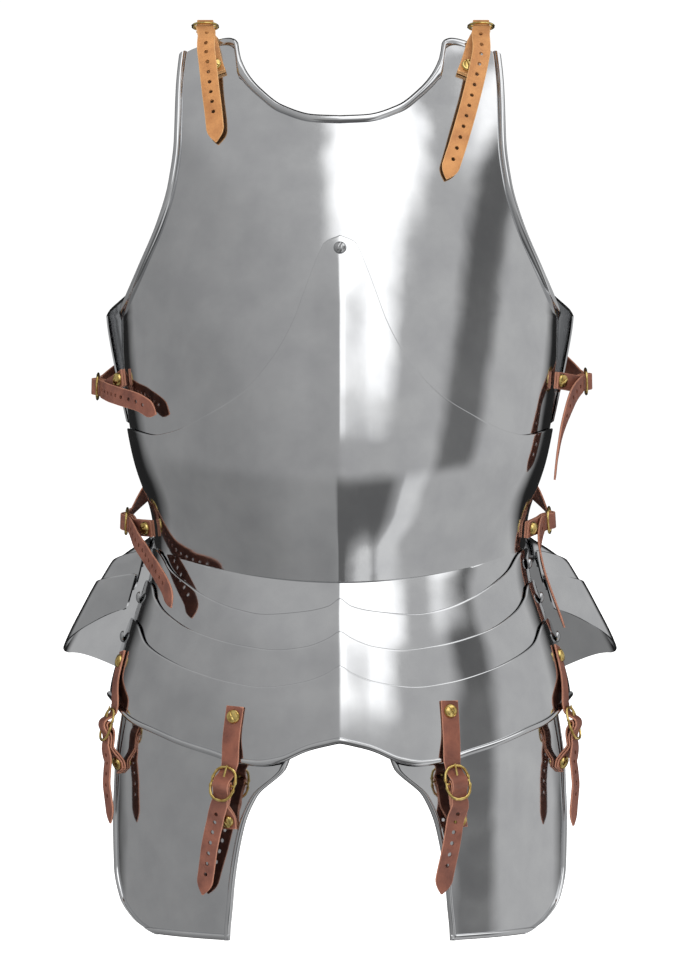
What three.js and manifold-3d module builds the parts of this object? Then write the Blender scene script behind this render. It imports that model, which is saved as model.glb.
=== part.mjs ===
// A late fifteenth-century steel cuirass: breast, plackart, fauld, tassets, back and culet, with its straps.
// Millimetres, +Z up, the front faces -Y. The origin is midway between the shoulders, at the underside of
// the shoulder straps where they bridge from back to breast. Left and right are the wearer's.
import * as THREE from 'three';
import { mergeVertices } from 'three/addons/utils/BufferGeometryUtils.js';
import Module from 'manifold-3d';

const wasm = await Module();
wasm.setup();

// Driving dimensions.
const plateWall = 1.2;          // every steel plate
const lap = 2.4;                // from one plate's face to the next one lapping over it: a 1.2 mm gap
const neckRoll = 3.0;           // radius of the rolled edges
const armRoll = 4.0;
const hemRoll = 2.4;
const ridgeHeight = 3;          // central ridge of plackart and fauld
const ridgeWidth = 24;
const frontCrease = -435;       // the waist crease at the centre of the front
const creaseRise = 25;          // and how much higher it lies at the sides
const backCrease = -394;
const backStart = 8;            // the back's side edges lie this far behind the front's
const pinRadius = 2.0;          // pivot rivets of the lames
const pinHole = 2.45;
const headRadius = 4.6;
const wingAngle = THREE.MathUtils.degToRad(16);   // how far round the culet's front ends are pinched in
const wingShape = 0.93;         // a wing's width where it is widest, as a share of its full section
const strapWidth = 14.4;
const leather = 1.6;
const air = 0.4;                // between pieces that lie on one another
// Strap buckle: an oval ring with a bar across its middle, tipped so that its far end lies low.
const ring = { length: 27, width: 21.4, rim: 2.2, thick: 2, bar: 1, low: 3.4, high: 8.6 };
const rosette = { radius: 5.4, height: 2.8, shank: 1.2 };

// Half width and centre depth of the front at each height, down to the waist crease.
const chest = [
  { z: 20, half: 175, depth: 20 }, { z: -20, half: 175, depth: 47 }, { z: -75, half: 175, depth: 84 },
  { z: -120, half: 175, depth: 104 }, { z: -180, half: 175, depth: 123 }, { z: -228, half: 175, depth: 136 },
  { z: -300, half: 170, depth: 150 }, { z: -345, half: 161.5, depth: 155 }, { z: -388, half: 147, depth: 149 },
  { z: -420, half: 146, depth: 134 }, { z: -435, half: 148, depth: 125 },
];
// The same for the skirt below it: fauld and tassets spring from this surface.
const skirt = [
  { z: -400, half: 146, depth: 105 }, { z: -422, half: 146.5, depth: 117 }, { z: -435, half: 148.5, depth: 125 },
  { z: -455, half: 154.5, depth: 134 }, { z: -490, half: 166, depth: 148 }, { z: -530, half: 176, depth: 159 },
  { z: -580, half: 181, depth: 167 },
];
// Half width of the armhole edge of the front, measured across.
const frontArmhole = [
  { z: 0, across: 122 }, { z: -20, across: 127 }, { z: -50, across: 129 }, { z: -90, across: 129.5 },
  { z: -125, across: 133.5 }, { z: -155, across: 142 }, { z: -190, across: 157 }, { z: -228, across: 174.6 },
];
// The back, down to its own waist crease, and the armhole edge of the back.
const backBody = [
  { z: 20, half: 188, depth: 30 }, { z: -20, half: 188, depth: 60 }, { z: -60, half: 188, depth: 84 },
  { z: -120, half: 188, depth: 102 }, { z: -200, half: 188, depth: 112 }, { z: -222, half: 188, depth: 112 },
  { z: -250, half: 184, depth: 110 }, { z: -289, half: 176, depth: 106 }, { z: -320, half: 169, depth: 99 },
  { z: -356, half: 158, depth: 90 }, { z: -394, half: 148, depth: 80 },
];
const backArmhole = [
  { z: 0, across: 118 }, { z: -20, across: 122 }, { z: -60, across: 124 }, { z: -120, across: 126 },
  { z: -150, across: 134 }, { z: -170, across: 143 }, { z: -188, across: 156 }, { z: -205, across: 172 },
  { z: -222, across: 187.5 },
];
// The culet flares into a wing on each hip: its greatest half width, its half width at the front ends.
const culet = [
  { z: -394, wing: 148, end: 148, depth: 80 }, { z: -403, wing: 164, end: 152, depth: 87 },
  { z: -410, wing: 174, end: 154, depth: 93 }, { z: -429, wing: 188, end: 158, depth: 108 },
  { z: -455, wing: 204, end: 165, depth: 126 }, { z: -499, wing: 226, end: 176, depth: 150 },
  { z: -560, wing: 240, end: 186, depth: 172 },
];
// Tasset outline: outer and inner edge across, at each height.
const tassetOutline = [
  { z: -530, outer: 172, inner: 30 }, { z: -573, outer: 175, inner: 40 }, { z: -596, outer: 176, inner: 63 },
  { z: -620, outer: 177, inner: 73 }, { z: -660, outer: 176, inner: 80 }, { z: -682, outer: 171, inner: 82 },
  { z: -697, outer: 159, inner: 83.5 }, { z: -706, outer: 142, inner: 84 },
];
// Pivot rivets of the lames: height, and how far they sit from the plane between front and back.
const fauldPivots = [{ y: -28, z: -422 }, { y: -28, z: -449 }, { y: -28, z: -480 }];

const colours = { steel: 0x9a9c9e, tan: 0xd0a078, brown: 0x8a5545, brass: 0xc9a95c };
const steel = () => new THREE.MeshStandardMaterial({ color: colours.steel, roughness: 0.18, metalness: 1 });
const tanLeather = () => new THREE.MeshStandardMaterial({ color: colours.tan, roughness: 0.7, metalness: 0 });
const brownLeather = () => new THREE.MeshStandardMaterial({ color: colours.brown, roughness: 0.7, metalness: 0 });
const brass = () => new THREE.MeshStandardMaterial({ color: colours.brass, roughness: 0.3, metalness: 1 });

const cuirass = new THREE.Group();

function place(name, geometry, material) {
  const mesh = new THREE.Mesh(geometry, material);
  mesh.name = name;
  cuirass.add(mesh);
}

// Numbers and surfaces ---------------------------------------------------------------------------------

// A smooth curve through a table's rows that never overshoots them.
function sample(table, column, z) {
  const last = table.length - 1;
  if (z >= table[0].z) return table[0][column];
  if (z <= table[last].z) return table[last][column];
  const secant = (i) => (table[i + 1][column] - table[i][column]) / (table[i + 1].z - table[i].z);
  const slope = (i) => {
    if (i === 0) return secant(0);
    if (i === last) return secant(last - 1);
    const before = secant(i - 1);
    const after = secant(i);
    return before * after <= 0 ? 0 : 2 * before * after / (before + after);
  };
  let i = 0;
  while (table[i + 1].z > z) i += 1;
  const span = table[i + 1].z - table[i].z;
  const t = (z - table[i].z) / span;
  return table[i][column] * (1 + 2 * t) * (1 - t) ** 2 + slope(i) * span * t * (1 - t) ** 2
    + table[i + 1][column] * t * t * (3 - 2 * t) + slope(i + 1) * span * t * t * (t - 1);
}

const ramp = (from, to, value) => THREE.MathUtils.smoothstep((value - from) / (to - from), 0, 1);
const degrees = THREE.MathUtils.degToRad;

// Front of the torso: an ellipse at each height. The angle is 0 at the centre, 90 degrees at the wearer's
// left side.
function breastSurface(angle, z) {
  const lifted = z - creaseRise * Math.sin(angle) ** 2 * ramp(-330, -410, z);
  const below = lifted < frontCrease;
  const half = sample(z < -410 ? skirt : chest, 'half', z);
  const depth = sample(below ? skirt : chest, 'depth', lifted);
  return new THREE.Vector3(half * Math.sin(angle), -depth * Math.cos(angle), z);
}

// The plackart and the skirt have a ridge down the centre as well.
function frontSurface(angle, z) {
  const point = breastSurface(angle, z);
  point.y -= ridgeHeight * ramp(-150, -230, z) * Math.max(0, 1 - Math.abs(point.x) / ridgeWidth) ** 1.5;
  return point;
}

// The tassets carry the skirt's last section straight down.
function tassetSurface(angle, z) {
  const level = Math.max(z, -575);
  const point = frontSurface(angle, level);
  return new THREE.Vector3(point.x, point.y, z);
}

// Back of the torso, the angle measured the same way from the centre of the back. Below the crease the
// section grows squarer and flares into the wings, pinched in again at its front ends.
function backSurface(angle, z) {
  const body = z > backCrease;
  const depth = sample(body ? backBody : culet, 'depth', z);
  const squarer = ramp(backCrease, -425, z);
  const y = backStart + (depth - backStart) * Math.cos(angle);
  if (body) return new THREE.Vector3(sample(backBody, 'half', z) * Math.sin(angle), y, z);
  const wing = sample(culet, 'wing', z);
  const widest = wingShape ** squarer;
  const pinch = 1 - widest * sample(culet, 'end', z) / wing;
  const fromSide = (Math.PI / 2 - Math.abs(angle)) / wingAngle;
  const across = wing / widest * Math.sin(Math.abs(angle)) ** (1 - 0.4 * squarer) * (1 - pinch * Math.exp(-fromSide * fromSide));
  return new THREE.Vector3(Math.sign(angle) * across, y, z);
}

// A point lifted off a surface along its outward normal.
function liftedPoint(surface, angle, z, lift) {
  const step = 0.01;
  const point = surface(angle, z);
  const across = surface(angle + step, z).sub(surface(angle - step, z));
  const down = surface(angle, z - 1).sub(surface(angle, z + 1));
  const normal = down.cross(across).normalize();
  if (normal.y * point.y + normal.x * point.x < 0) normal.negate();
  return { point: point.addScaledVector(normal, lift), normal };
}

// Solids -------------------------------------------------------------------------------------------------

function signedVolume(positions, index) {
  const corner = (i) => new THREE.Vector3().fromArray(positions, 3 * i);
  let volume = 0;
  for (let i = 0; i < index.length; i += 3) {
    volume += corner(index[i]).dot(corner(index[i + 1]).cross(corner(index[i + 2])));
  }
  return volume;
}

// A closed mesh from points and triangles, turned so that its faces point out.
function closedMesh(points, triangles) {
  const positions = points.flatMap((point) => point.toArray());
  const index = triangles.flat();
  if (signedVolume(positions, index) < 0) index.reverse();
  const geometry = new THREE.BufferGeometry();
  geometry.setAttribute('position', new THREE.Float32BufferAttribute(positions, 3));
  geometry.setIndex(index);
  return geometry;
}

function toSolid(geometry) {
  const bare = new THREE.BufferGeometry();
  bare.setAttribute('position', geometry.attributes.position);
  if (geometry.index) bare.setIndex(geometry.index);
  const merged = mergeVertices(bare, 1e-4);
  return new wasm.Manifold(new wasm.Mesh({
    numProp: 3,
    vertProperties: new Float32Array(merged.attributes.position.array),
    triVerts: new Uint32Array(merged.index.array),
  }));
}

function fromSolid(solid) {
  const mesh = solid.getMesh();
  const geometry = new THREE.BufferGeometry();
  geometry.setAttribute('position', new THREE.BufferAttribute(new Float32Array(mesh.vertProperties), 3));
  geometry.setIndex(new THREE.BufferAttribute(new Uint32Array(mesh.triVerts), 1));
  return geometry;
}

const cut = (geometry, cutters) => fromSolid(
  cutters.reduce((solid, cutter) => solid.subtract(toSolid(cutter)), toSolid(geometry)));
const join = (pieces) => fromSolid(
  pieces.slice(1).reduce((solid, piece) => solid.add(toSolid(piece)), toSolid(pieces[0])));

// Stations of equal vertex count swept into one closed skin, the two end stations capped by a fan.
function sweep(stations) {
  const count = stations[0].length;
  const points = stations.flat();
  const triangles = [];
  for (let i = 0; i < stations.length - 1; i += 1) {
    for (let k = 0; k < count; k += 1) {
      const a = i * count + k;
      const b = i * count + (k + 1) % count;
      triangles.push([a, b, b + count], [a, b + count, a + count]);
    }
  }
  const end = (stations.length - 1) * count;
  for (let k = 1; k < count - 1; k += 1) {
    triangles.push([0, k + 1, k], [end, end + k, end + k + 1]);
  }
  return closedMesh(points, triangles);
}

// Plates -------------------------------------------------------------------------------------------------

// The rise of a rolled edge at a distance from it: half a circle standing on the plate's outer face.
const roll = (distance, radius) => Math.sqrt(Math.max(0, radius ** 2 - (distance - radius) ** 2));
// How far a rounded corner draws an edge in, at a distance from the end of that edge.
const cornerInset = (distance, radius) => (
  distance >= radius ? 0 : radius - Math.sqrt(radius ** 2 - (radius - Math.max(0, distance)) ** 2));

// A curved plate. Its columns run down between guide curves, each giving a height for a column, with the
// stated number of rows from one guide to the next. angleAt turns column and height into the surface angle.
function platedGrid({ surface, columns, guides, rows, angleAt, layer, raise = () => 0 }) {
  const outer = [];
  const inner = [];
  guides.slice(0, -1).forEach((guide, k) => {
    const first = k === 0 ? 0 : 1;
    for (let row = first; row <= rows[k]; row += 1) {
      const heights = columns.map((u) => THREE.MathUtils.lerp(guide(u), guides[k + 1](u), row / rows[k]));
      outer.push(columns.map((u, i) => {
        const angle = angleAt(u, heights[i]);
        return liftedPoint(surface, angle, heights[i], layer + raise(u, heights[i])).point;
      }));
      inner.push(columns.map((u, i) => (
        liftedPoint(surface, angleAt(u, heights[i]), heights[i], layer - plateWall).point)));
    }
  });
  const wide = columns.length;
  const tall = outer.length;
  const back = wide * tall;
  const triangles = [];
  const quad = (a, b, c, d) => triangles.push([a, b, c], [a, c, d]);
  for (let j = 0; j < tall - 1; j += 1) {
    for (let i = 0; i < wide - 1; i += 1) {
      const a = j * wide + i;
      quad(a, a + wide, a + wide + 1, a + 1);
      quad(back + a, back + a + 1, back + a + wide + 1, back + a + wide);
    }
    const left = j * wide;
    const right = left + wide - 1;
    quad(left, back + left, back + left + wide, left + wide);
    quad(right, right + wide, back + right + wide, back + right);
  }
  const bottom = (tall - 1) * wide;
  for (let i = 0; i < wide - 1; i += 1) {
    quad(i, i + 1, back + i + 1, back + i);
    quad(bottom + i, back + bottom + i, back + bottom + i + 1, bottom + i + 1);
  }
  return closedMesh([...outer.flat(), ...inner.flat()], triangles);
}

const mirrored = (half) => [...half.slice(1).reverse().map((u) => -u), ...half];
// Columns through given distances across, on a section of that half width and side angle.
const columnsAcross = (distances, half, side) => mirrored(
  distances.map((across) => Math.asin(across / half) / side));
// An edge given as a short table of heights against the distance across.
const edgeHeight = (table, across) => sample(table.map((row) => ({ z: -row.across, height: row.height })),
  'height', -across);

// Torso plates -------------------------------------------------------------------------------------------

const frontSide = degrees(86);
const lameSide = degrees(83);
const chestHalf = 175;
const backHalf = 188;

const neckline = [
  { across: 0, height: -73 }, { across: 20, height: -72 }, { across: 44, height: -64 },
  { across: 61, height: -50 }, { across: 71, height: -38 }, { across: 78, height: -25 },
  { across: 84, height: -9 }, { across: 92, height: -6.5 }, { across: 118, height: -15 },
  { across: 128, height: -21 },
];
const backNeckline = [
  { across: 0, height: -67 }, { across: 24, height: -66 }, { across: 50, height: -58 },
  { across: 68, height: -45 }, { across: 79, height: -30 }, { across: 87, height: -12 },
  { across: 95, height: -8 }, { across: 123, height: -21 },
];
const plackartTop = [
  { across: 0, height: -169 }, { across: 11, height: -174 }, { across: 18, height: -189 },
  { across: 25, height: -208 }, { across: 35, height: -236 }, { across: 48, height: -260 },
  { across: 73, height: -289 }, { across: 99, height: -305 }, { across: 132, height: -319 },
  { across: 146, height: -321 }, { across: 168, height: -315 },
];

// The angle of an armhole edge, or of the plain side edge below it.
function sideAngle(armhole, half, side, z) {
  const bottom = armhole[armhole.length - 1];
  return z <= bottom.z ? side : Math.min(side, Math.asin(sample(armhole, 'across', z) / half));
}

function edgeRolls(edge, armhole, half, side, neckEnd) {
  return (u, z) => {
    const span = sideAngle(armhole, half, side, z);
    const across = half * Math.sin(Math.abs(u) * span);
    const step = 2;
    const slope = (edgeHeight(edge, across + step) - edgeHeight(edge, across - step)) / (2 * step);
    const fromNeck = (edgeHeight(edge, across) - z) / Math.hypot(1, slope);
    const fromArm = (1 - Math.abs(u)) * span * half;
    const neck = across < neckEnd ? roll(fromNeck, neckRoll) : 0;
    const arm = z > armhole[armhole.length - 1].z ? roll(fromArm, armRoll) : 0;
    return Math.max(neck, arm);
  };
}

// A breast or back plate cut out for neck and arms: the top edge, three rows over its roll, then the field.
function torsoPlate({ surface, edge, armhole, half, side, distances, bottom, fieldRows }) {
  const shoulder = sideAngle(armhole, half, side, -30);
  const columns = columnsAcross(distances, half, shoulder);
  columns[0] = -1;
  columns[columns.length - 1] = 1;
  const top = (u) => edgeHeight(edge, half * Math.sin(Math.abs(u) * shoulder));
  const down = (distance) => (u) => {
    const across = half * Math.sin(Math.abs(u) * shoulder);
    const slope = (edgeHeight(edge, across + 2) - edgeHeight(edge, across - 2)) / 4;
    return top(u) - distance * Math.hypot(1, slope);
  };
  return platedGrid({
    surface, columns, layer: 0,
    guides: [top, down(0.4 * neckRoll), down(1.6 * neckRoll), down(2 * neckRoll), bottom],
    rows: [1, 1, 1, fieldRows],
    angleAt: (u, z) => u * sideAngle(armhole, half, side, z),
    raise: edgeRolls(edge, armhole, half, side, 90),
  });
}

// Holes and rivets on an axis along X.
function cylinderAlongX(radius, from, to, y, z, sides) {
  const geometry = new THREE.CylinderGeometry(radius, radius, Math.abs(to - from), sides);
  geometry.rotateZ(Math.PI / 2);
  return geometry.translate((from + to) / 2, y, z);
}

// A rivet turned about its own axis: domed head outside, shank, flat head inside.
function rivet({ domeRadius, domeHeight, shankRadius, grip, tailRadius, tailHeight, sides = 8 }) {
  const profile = [new THREE.Vector2(0, domeHeight)];
  const domeSteps = 2;
  for (let i = 1; i <= domeSteps; i += 1) {
    const angle = i / domeSteps * Math.PI / 2;
    profile.push(new THREE.Vector2(domeRadius * Math.sin(angle), domeHeight * Math.cos(angle)));
  }
  profile.push(new THREE.Vector2(shankRadius, 0), new THREE.Vector2(shankRadius, -grip));
  if (tailHeight > 0) {
    profile.push(new THREE.Vector2(tailRadius, -grip), new THREE.Vector2(tailRadius, -grip - tailHeight));
  }
  profile.push(new THREE.Vector2(0, -grip - tailHeight));
  const lathe = new THREE.LatheGeometry(profile.reverse(), sides);
  return fromSolid(toSolid(lathe));
}

const toFace = (geometry, direction, point) => geometry
  .applyQuaternion(new THREE.Quaternion().setFromUnitVectors(new THREE.Vector3(0, 1, 0), direction))
  .translate(point.x, point.y, point.z);

// Where a lapped plate's outer face passes a pivot: the distance across, and how far the face falls away
// under the edge of a rivet head that stands square to the X axis.
function pivotSeat(surface, pivot, layer) {
  let low = degrees(40);
  let high = degrees(90);
  for (let i = 0; i < 40; i += 1) {
    const middle = (low + high) / 2;
    if (Math.abs(liftedPoint(surface, middle, pivot.z, layer).point.y) > Math.abs(pivot.y)) low = middle;
    else high = middle;
  }
  const { point, normal } = liftedPoint(surface, low, pivot.z, layer);
  return { across: point.x, fall: headRadius * Math.sqrt(1 - normal.x ** 2) / normal.x };
}

function pivotRivet(surface, pivot, outerLayer, side) {
  const face = pivotSeat(surface, pivot, outerLayer);
  const outside = face.across + face.fall + 2 * air;
  const inside = pivotSeat(surface, pivot, outerLayer - lap - plateWall).across - face.fall - 2 * air;
  const solid = rivet({
    domeRadius: headRadius, domeHeight: 2.6, shankRadius: pinRadius, grip: outside - inside,
    tailRadius: 3.8, tailHeight: 1,
  });
  return toFace(solid, new THREE.Vector3(side, 0, 0), new THREE.Vector3(side * outside, pivot.y, pivot.z));
}

const pivotHoles = (pivots) => pivots.flatMap((pivot) => [-1, 1].map((side) => (
  cylinderAlongX(pinHole, side * 120, side * 200, pivot.y, pivot.z, 10))));

const plateSolids = {};

plateSolids.breast_upper = torsoPlate({
  surface: breastSurface, edge: neckline, armhole: frontArmhole, half: chestHalf, side: frontSide,
  distances: [0, 10, 24, 40, 54, 64, 72, 78, 82, 85, 94, 108, 117, 120, 123.5, 125.7, 127.5],
  bottom: () => -350, fieldRows: 7,
});
plateSolids.back_upper = torsoPlate({
  surface: backSurface, edge: backNeckline, armhole: backArmhole, half: backHalf, side: degrees(89),
  distances: [0, 14, 28, 42, 56, 68, 78, 84, 88, 96, 106, 114, 117, 120, 122.8],
  bottom: (u) => -322 + 13 * u * u, fieldRows: 7,
});

const creaseHeight = (angle) => frontCrease + creaseRise * Math.sin(angle) ** 2;
const flangeBottom = [
  { across: 0, height: -463 }, { across: 30, height: -472 }, { across: 55, height: -475 },
  { across: 100, height: -463 }, { across: 130, height: -446 }, { across: 150, height: -434 },
];
plateSolids.plackart = platedGrid({
  surface: frontSurface, layer: lap,
  columns: columnsAcross([0, 6, 11, 18, 26, 36, 48, 62, 78, 96, 115, 134, 149, 160, 166, 169.58], 170, frontSide),
  guides: [
    (u) => edgeHeight(plackartTop, 170 * Math.sin(Math.abs(u) * frontSide)),
    (u) => creaseHeight(u * lameSide) + 14,
    (u) => creaseHeight(u * lameSide),
    (u) => edgeHeight(flangeBottom, 152 * Math.sin(Math.abs(u) * lameSide)),
  ],
  rows: [7, 1, 3],
  angleAt: (u, z) => {
    const end = -434;
    const side = THREE.MathUtils.lerp(frontSide, lameSide, ramp(-385, -405, z));
    return u * (side - cornerInset(z - end, 10) / 150 * ramp(0.8, 1, Math.abs(u)));
  },
});

// A lame lies between two edge curves, its ends rounded about the pivots. The edges of the front lames:
const fauldEdges = [
  [
    { across: 0, height: -448 }, { across: 8, height: -454 }, { across: 25, height: -458 },
    { across: 55, height: -460.5 }, { across: 75, height: -457 }, { across: 100, height: -448 },
    { across: 120, height: -437 }, { across: 134, height: -427 }, { across: 144, height: -415 },
    { across: 150, height: -410.5 },
  ], [
    { across: 0, height: -473.5 }, { across: 8, height: -479 }, { across: 24, height: -485 },
    { across: 45, height: -487.5 }, { across: 70, height: -484.5 }, { across: 106, height: -475 },
    { across: 132, height: -462 }, { across: 146, height: -450 }, { across: 152, height: -441 },
    { across: 157, height: -437.5 },
  ], [
    { across: 0, height: -499.5 }, { across: 8, height: -505 }, { across: 26, height: -511.5 },
    { across: 54, height: -515.5 }, { across: 80, height: -512 }, { across: 103, height: -506 },
    { across: 124, height: -498.5 }, { across: 148, height: -486 }, { across: 160, height: -473 },
    { across: 168, height: -468 },
  ],
];
const fauldHem = [
  { across: 0, height: -556.5 }, { across: 24, height: -562.5 }, { across: 45, height: -571.5 },
  { across: 60, height: -574 }, { across: 78, height: -572 }, { across: 95, height: -567 },
  { across: 118, height: -560.5 }, { across: 140, height: -552.5 }, { across: 158, height: -546 },
  { across: 180, height: -531 },
];
const underLap = [
  { across: 0, height: 14 }, { across: 100, height: 15 }, { across: 130, height: 20 },
  { across: 160, height: 24 },
];
const lameHalf = [152, 159, 169];

function lame({ surface, top, bottom, halfTop, halfBottom, side, layer, raise, distances, sheer }) {
  const edgeOf = (table, half) => (u) => edgeHeight(table, half * Math.sin(Math.abs(u) * side));
  const upper = edgeOf(top, halfTop);
  const lower = edgeOf(bottom, halfBottom);
  return platedGrid({
    surface, layer, raise: raise && ((u, z) => raise(lower(u), z)),
    columns: columnsAcross(distances, 160, side),
    guides: [
      upper, (u) => upper(u) - 1.5, (u) => upper(u) - 5,
      (u) => lower(u) + 5, (u) => lower(u) + 1.5, lower,
    ],
    rows: [1, 1, 2, 1, 1],
    angleAt: (u, z) => {
      const inset = cornerInset(upper(u) - z, 10) + cornerInset(z - lower(u), sheer);
      return u * (side - inset / 160 * ramp(0.7, 1, Math.abs(u)));
    },
  });
}

const lameDistances = [0, 8, 20, 34, 50, 68, 86, 104, 120, 134, 145, 153, 158.8];
const lowered = (table, drop) => table.map((row) => (
  { across: row.across, height: row.height - edgeHeight(drop, row.across) }));
fauldEdges.forEach((edge, i) => {
  const last = i === fauldEdges.length - 1;
  plateSolids[`fauld_lame_${i + 1}`] = lame({
    surface: frontSurface, top: edge, halfTop: lameHalf[i], side: lameSide, layer: (i + 2) * lap,
    bottom: last ? fauldHem : lowered(fauldEdges[i + 1], underLap),
    halfBottom: last ? 183 : lameHalf[i + 1],
    raise: last ? (hem, z) => roll(z - hem, hemRoll) : undefined,
    distances: lameDistances, sheer: last ? 16 : 10,
  });
});

// The tassets hang inside the last lame's hem.
const tassetLayer = (fauldEdges.length + 1) * lap - plateWall - 4.8;
function tasset(side) {
  const rolls = (fraction, z, top) => {
    const outline = tassetSpan(z);
    const width = outline.outer - outline.inner;
    const fromEdge = Math.min(fraction, 1 - fraction) * width;
    const fromBottom = z - (-706);
    return z > top - 12 ? 0 : Math.max(roll(fromEdge, hemRoll), roll(fromBottom, hemRoll));
  };
  const tassetSpan = (z) => {
    const reach = tassetSurface(Math.PI / 2, z).x + tassetLayer;
    const outer = Math.asin(sample(tassetOutline, 'outer', z) / reach);
    const inner = Math.asin(sample(tassetOutline, 'inner', z) / reach);
    return { outer: outer * reach, inner: inner * reach, reach };
  };
  const top = (t) => edgeHeight(fauldHem, 40 + 130 * t) + 14;
  const hem = (t) => -706;
  return platedGrid({
    surface: tassetSurface, layer: tassetLayer,
    columns: [0, 0.05, 0.17, 0.33, 0.5, 0.67, 0.83, 0.95, 1],
    guides: [top, (t) => -585, (t) => -660, (t) => -697, hem],
    rows: [2, 3, 2, 2],
    angleAt: (t, z) => {
      const span = tassetSpan(z);
      return side * THREE.MathUtils.lerp(span.inner, span.outer, t) / span.reach;
    },
    raise: (t, z) => rolls(t, z, top(t)),
  });
}
plateSolids.tasset_left = tasset(1);
plateSolids.tasset_right = tasset(-1);

const culetColumns = mirrored([0, 0.14, 0.28, 0.42, 0.54, 0.64, 0.73, 0.81, 0.88, 0.94, 1]);
const culetSide = degrees(88);
// The lower back lies inside the upper one and carries the culet on its flange.
plateSolids.back_lower = platedGrid({
  surface: backSurface, layer: -lap,
  columns: culetColumns,
  guides: [() => -285, () => -375, () => backCrease, () => -416],
  rows: [4, 1, 4],
  angleAt: (u) => u * culetSide,
});

// Culet edges by the angle round from the centre of the back, at the back, the wing and the front end.
const culetEdges = [
  { back: -402, wing: -402, end: -401 }, { back: -434, wing: -424, end: -413 },
  { back: -470, wing: -442, end: -432 }, { back: -548, wing: -499, end: -461 },
];
function culetEdge(edge, u) {
  const fromSide = (1 - Math.abs(u)) * culetSide;
  const towardEnd = 1 - ramp(0, degrees(30), fromSide);
  const towardBack = ramp(degrees(30), culetSide, fromSide);
  return edge.wing + (edge.end - edge.wing) * towardEnd + (edge.back - edge.wing) * towardBack;
}
culetEdges.slice(0, -1).forEach((edge, i) => {
  const last = i === culetEdges.length - 2;
  const next = culetEdges[i + 1];
  const upper = (u) => culetEdge(edge, u);
  const lower = (u) => culetEdge(next, u) - (last ? 0 : 13);
  plateSolids[`culet_lame_${i + 1}`] = platedGrid({
    surface: backSurface, layer: i * lap,
    columns: culetColumns,
    guides: [upper, (u) => upper(u) - 3, (u) => lower(u) + 4, lower],
    rows: [1, 2, 1],
    angleAt: (u, z) => {
      const inset = cornerInset(upper(u) - z, 6) + cornerInset(z - lower(u), 8);
      return u * (culetSide - inset / 160 * ramp(0.7, 1, Math.abs(u)));
    },
  });
});

// Holes for the pivots, then the pivots themselves.
const fauldChain = ['plackart', 'fauld_lame_1', 'fauld_lame_2', 'fauld_lame_3'];
fauldChain.forEach((name, i) => {
  const pivots = fauldPivots.filter((_, k) => k === i || k === i - 1);
  plateSolids[name] = cut(plateSolids[name], pivotHoles(pivots));
});

const screwAngle = 0;
const screwHeight = -179;
const screwSeat = liftedPoint(frontSurface, screwAngle, screwHeight, lap + air);
const screwHole = toFace(new THREE.CylinderGeometry(pinHole, pinHole, 20, 14), screwSeat.normal, screwSeat.point);
plateSolids.plackart = cut(plateSolids.plackart, [screwHole]);
plateSolids.breast_upper = cut(plateSolids.breast_upper, [screwHole]);

Object.entries(plateSolids).forEach(([name, geometry]) => place(name, geometry, steel()));
place('plackart_screw', toFace(rivet({
  domeRadius: 5.2, domeHeight: 4, shankRadius: pinRadius, grip: lap + plateWall + 5 * air,
  tailRadius: 4.2, tailHeight: 1.4,
}), screwSeat.normal, screwSeat.point), steel());
fauldPivots.forEach((pivot, i) => [['left', 1], ['right', -1]].forEach(([word, side]) => {
  place(`fauld_rivet_${i + 1}_${word}`, pivotRivet(frontSurface, pivot, (i + 2) * lap, side), steel());
}));


// Straps -------------------------------------------------------------------------------------------------

// A place on a plate: its distance across and height, and how far it is lifted off the plate's face.
function on(surface, side, across, z, lift) {
  let low = 0;
  let high = degrees(90);
  for (let i = 0; i < 30; i += 1) {
    const middle = (low + high) / 2;
    if (liftedPoint(surface, middle, z, lift).point.x < across) low = middle;
    else high = middle;
  }
  const { point, normal } = liftedPoint(surface, low, z, lift);
  point.x *= side;
  normal.x *= side;
  return { point, normal };
}
// A place in the air, where a strap bridges from plate to plate, with the way its face looks.
const free = (side, x, y, z, nx, ny, nz) => ({
  point: new THREE.Vector3(side * x, y, z), normal: new THREE.Vector3(side * nx, ny, nz).normalize(),
});

// A strap's route: over the places before and after a buckle, and dead straight under the buckle itself.
// Distance along it is counted from the buckle's bar, toward the strap's riveted end, so the tail's is
// negative.
class Route {
  constructor(before, seat, after) {
    const straight = [17, 14, 7, 0, -7, -14, -17].map((distance) => (
      { point: seat.point.clone().addScaledVector(seat.along, distance), normal: seat.normal }));
    const places = [...before, ...straight, ...after];
    this.curve = new THREE.CatmullRomCurve3(places.map((place) => place.point));
    this.curve.arcLengthDivisions = 100 * (places.length - 1);
    this.normals = new THREE.CatmullRomCurve3(places.map((place) => place.normal));
    this.length = this.curve.getLength();
    this.hinge = this.curve.getLengths()[100 * (before.length + 3)];
    this.start = this.hinge;
    this.end = this.hinge - this.length;
  }

  frame(distance) {
    const u = (this.hinge - distance) / this.length;
    const t = this.curve.getUtoTmapping(THREE.MathUtils.clamp(u, 0, 1));
    const point = this.curve.getPoint(t);
    const along = this.curve.getTangent(t).negate();
    point.addScaledVector(along, (THREE.MathUtils.clamp(u, 0, 1) - u) * this.length);
    const normal = this.normals.getPoint(t);
    normal.addScaledVector(along, -normal.dot(along)).normalize();
    const across = new THREE.Vector3().crossVectors(along, normal);
    return { point, along, normal, across };
  }

  at(distance, height, sideways) {
    const { point, normal, across } = this.frame(distance);
    return point.addScaledVector(normal, height).addScaledVector(across, sideways);
  }
}

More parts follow.
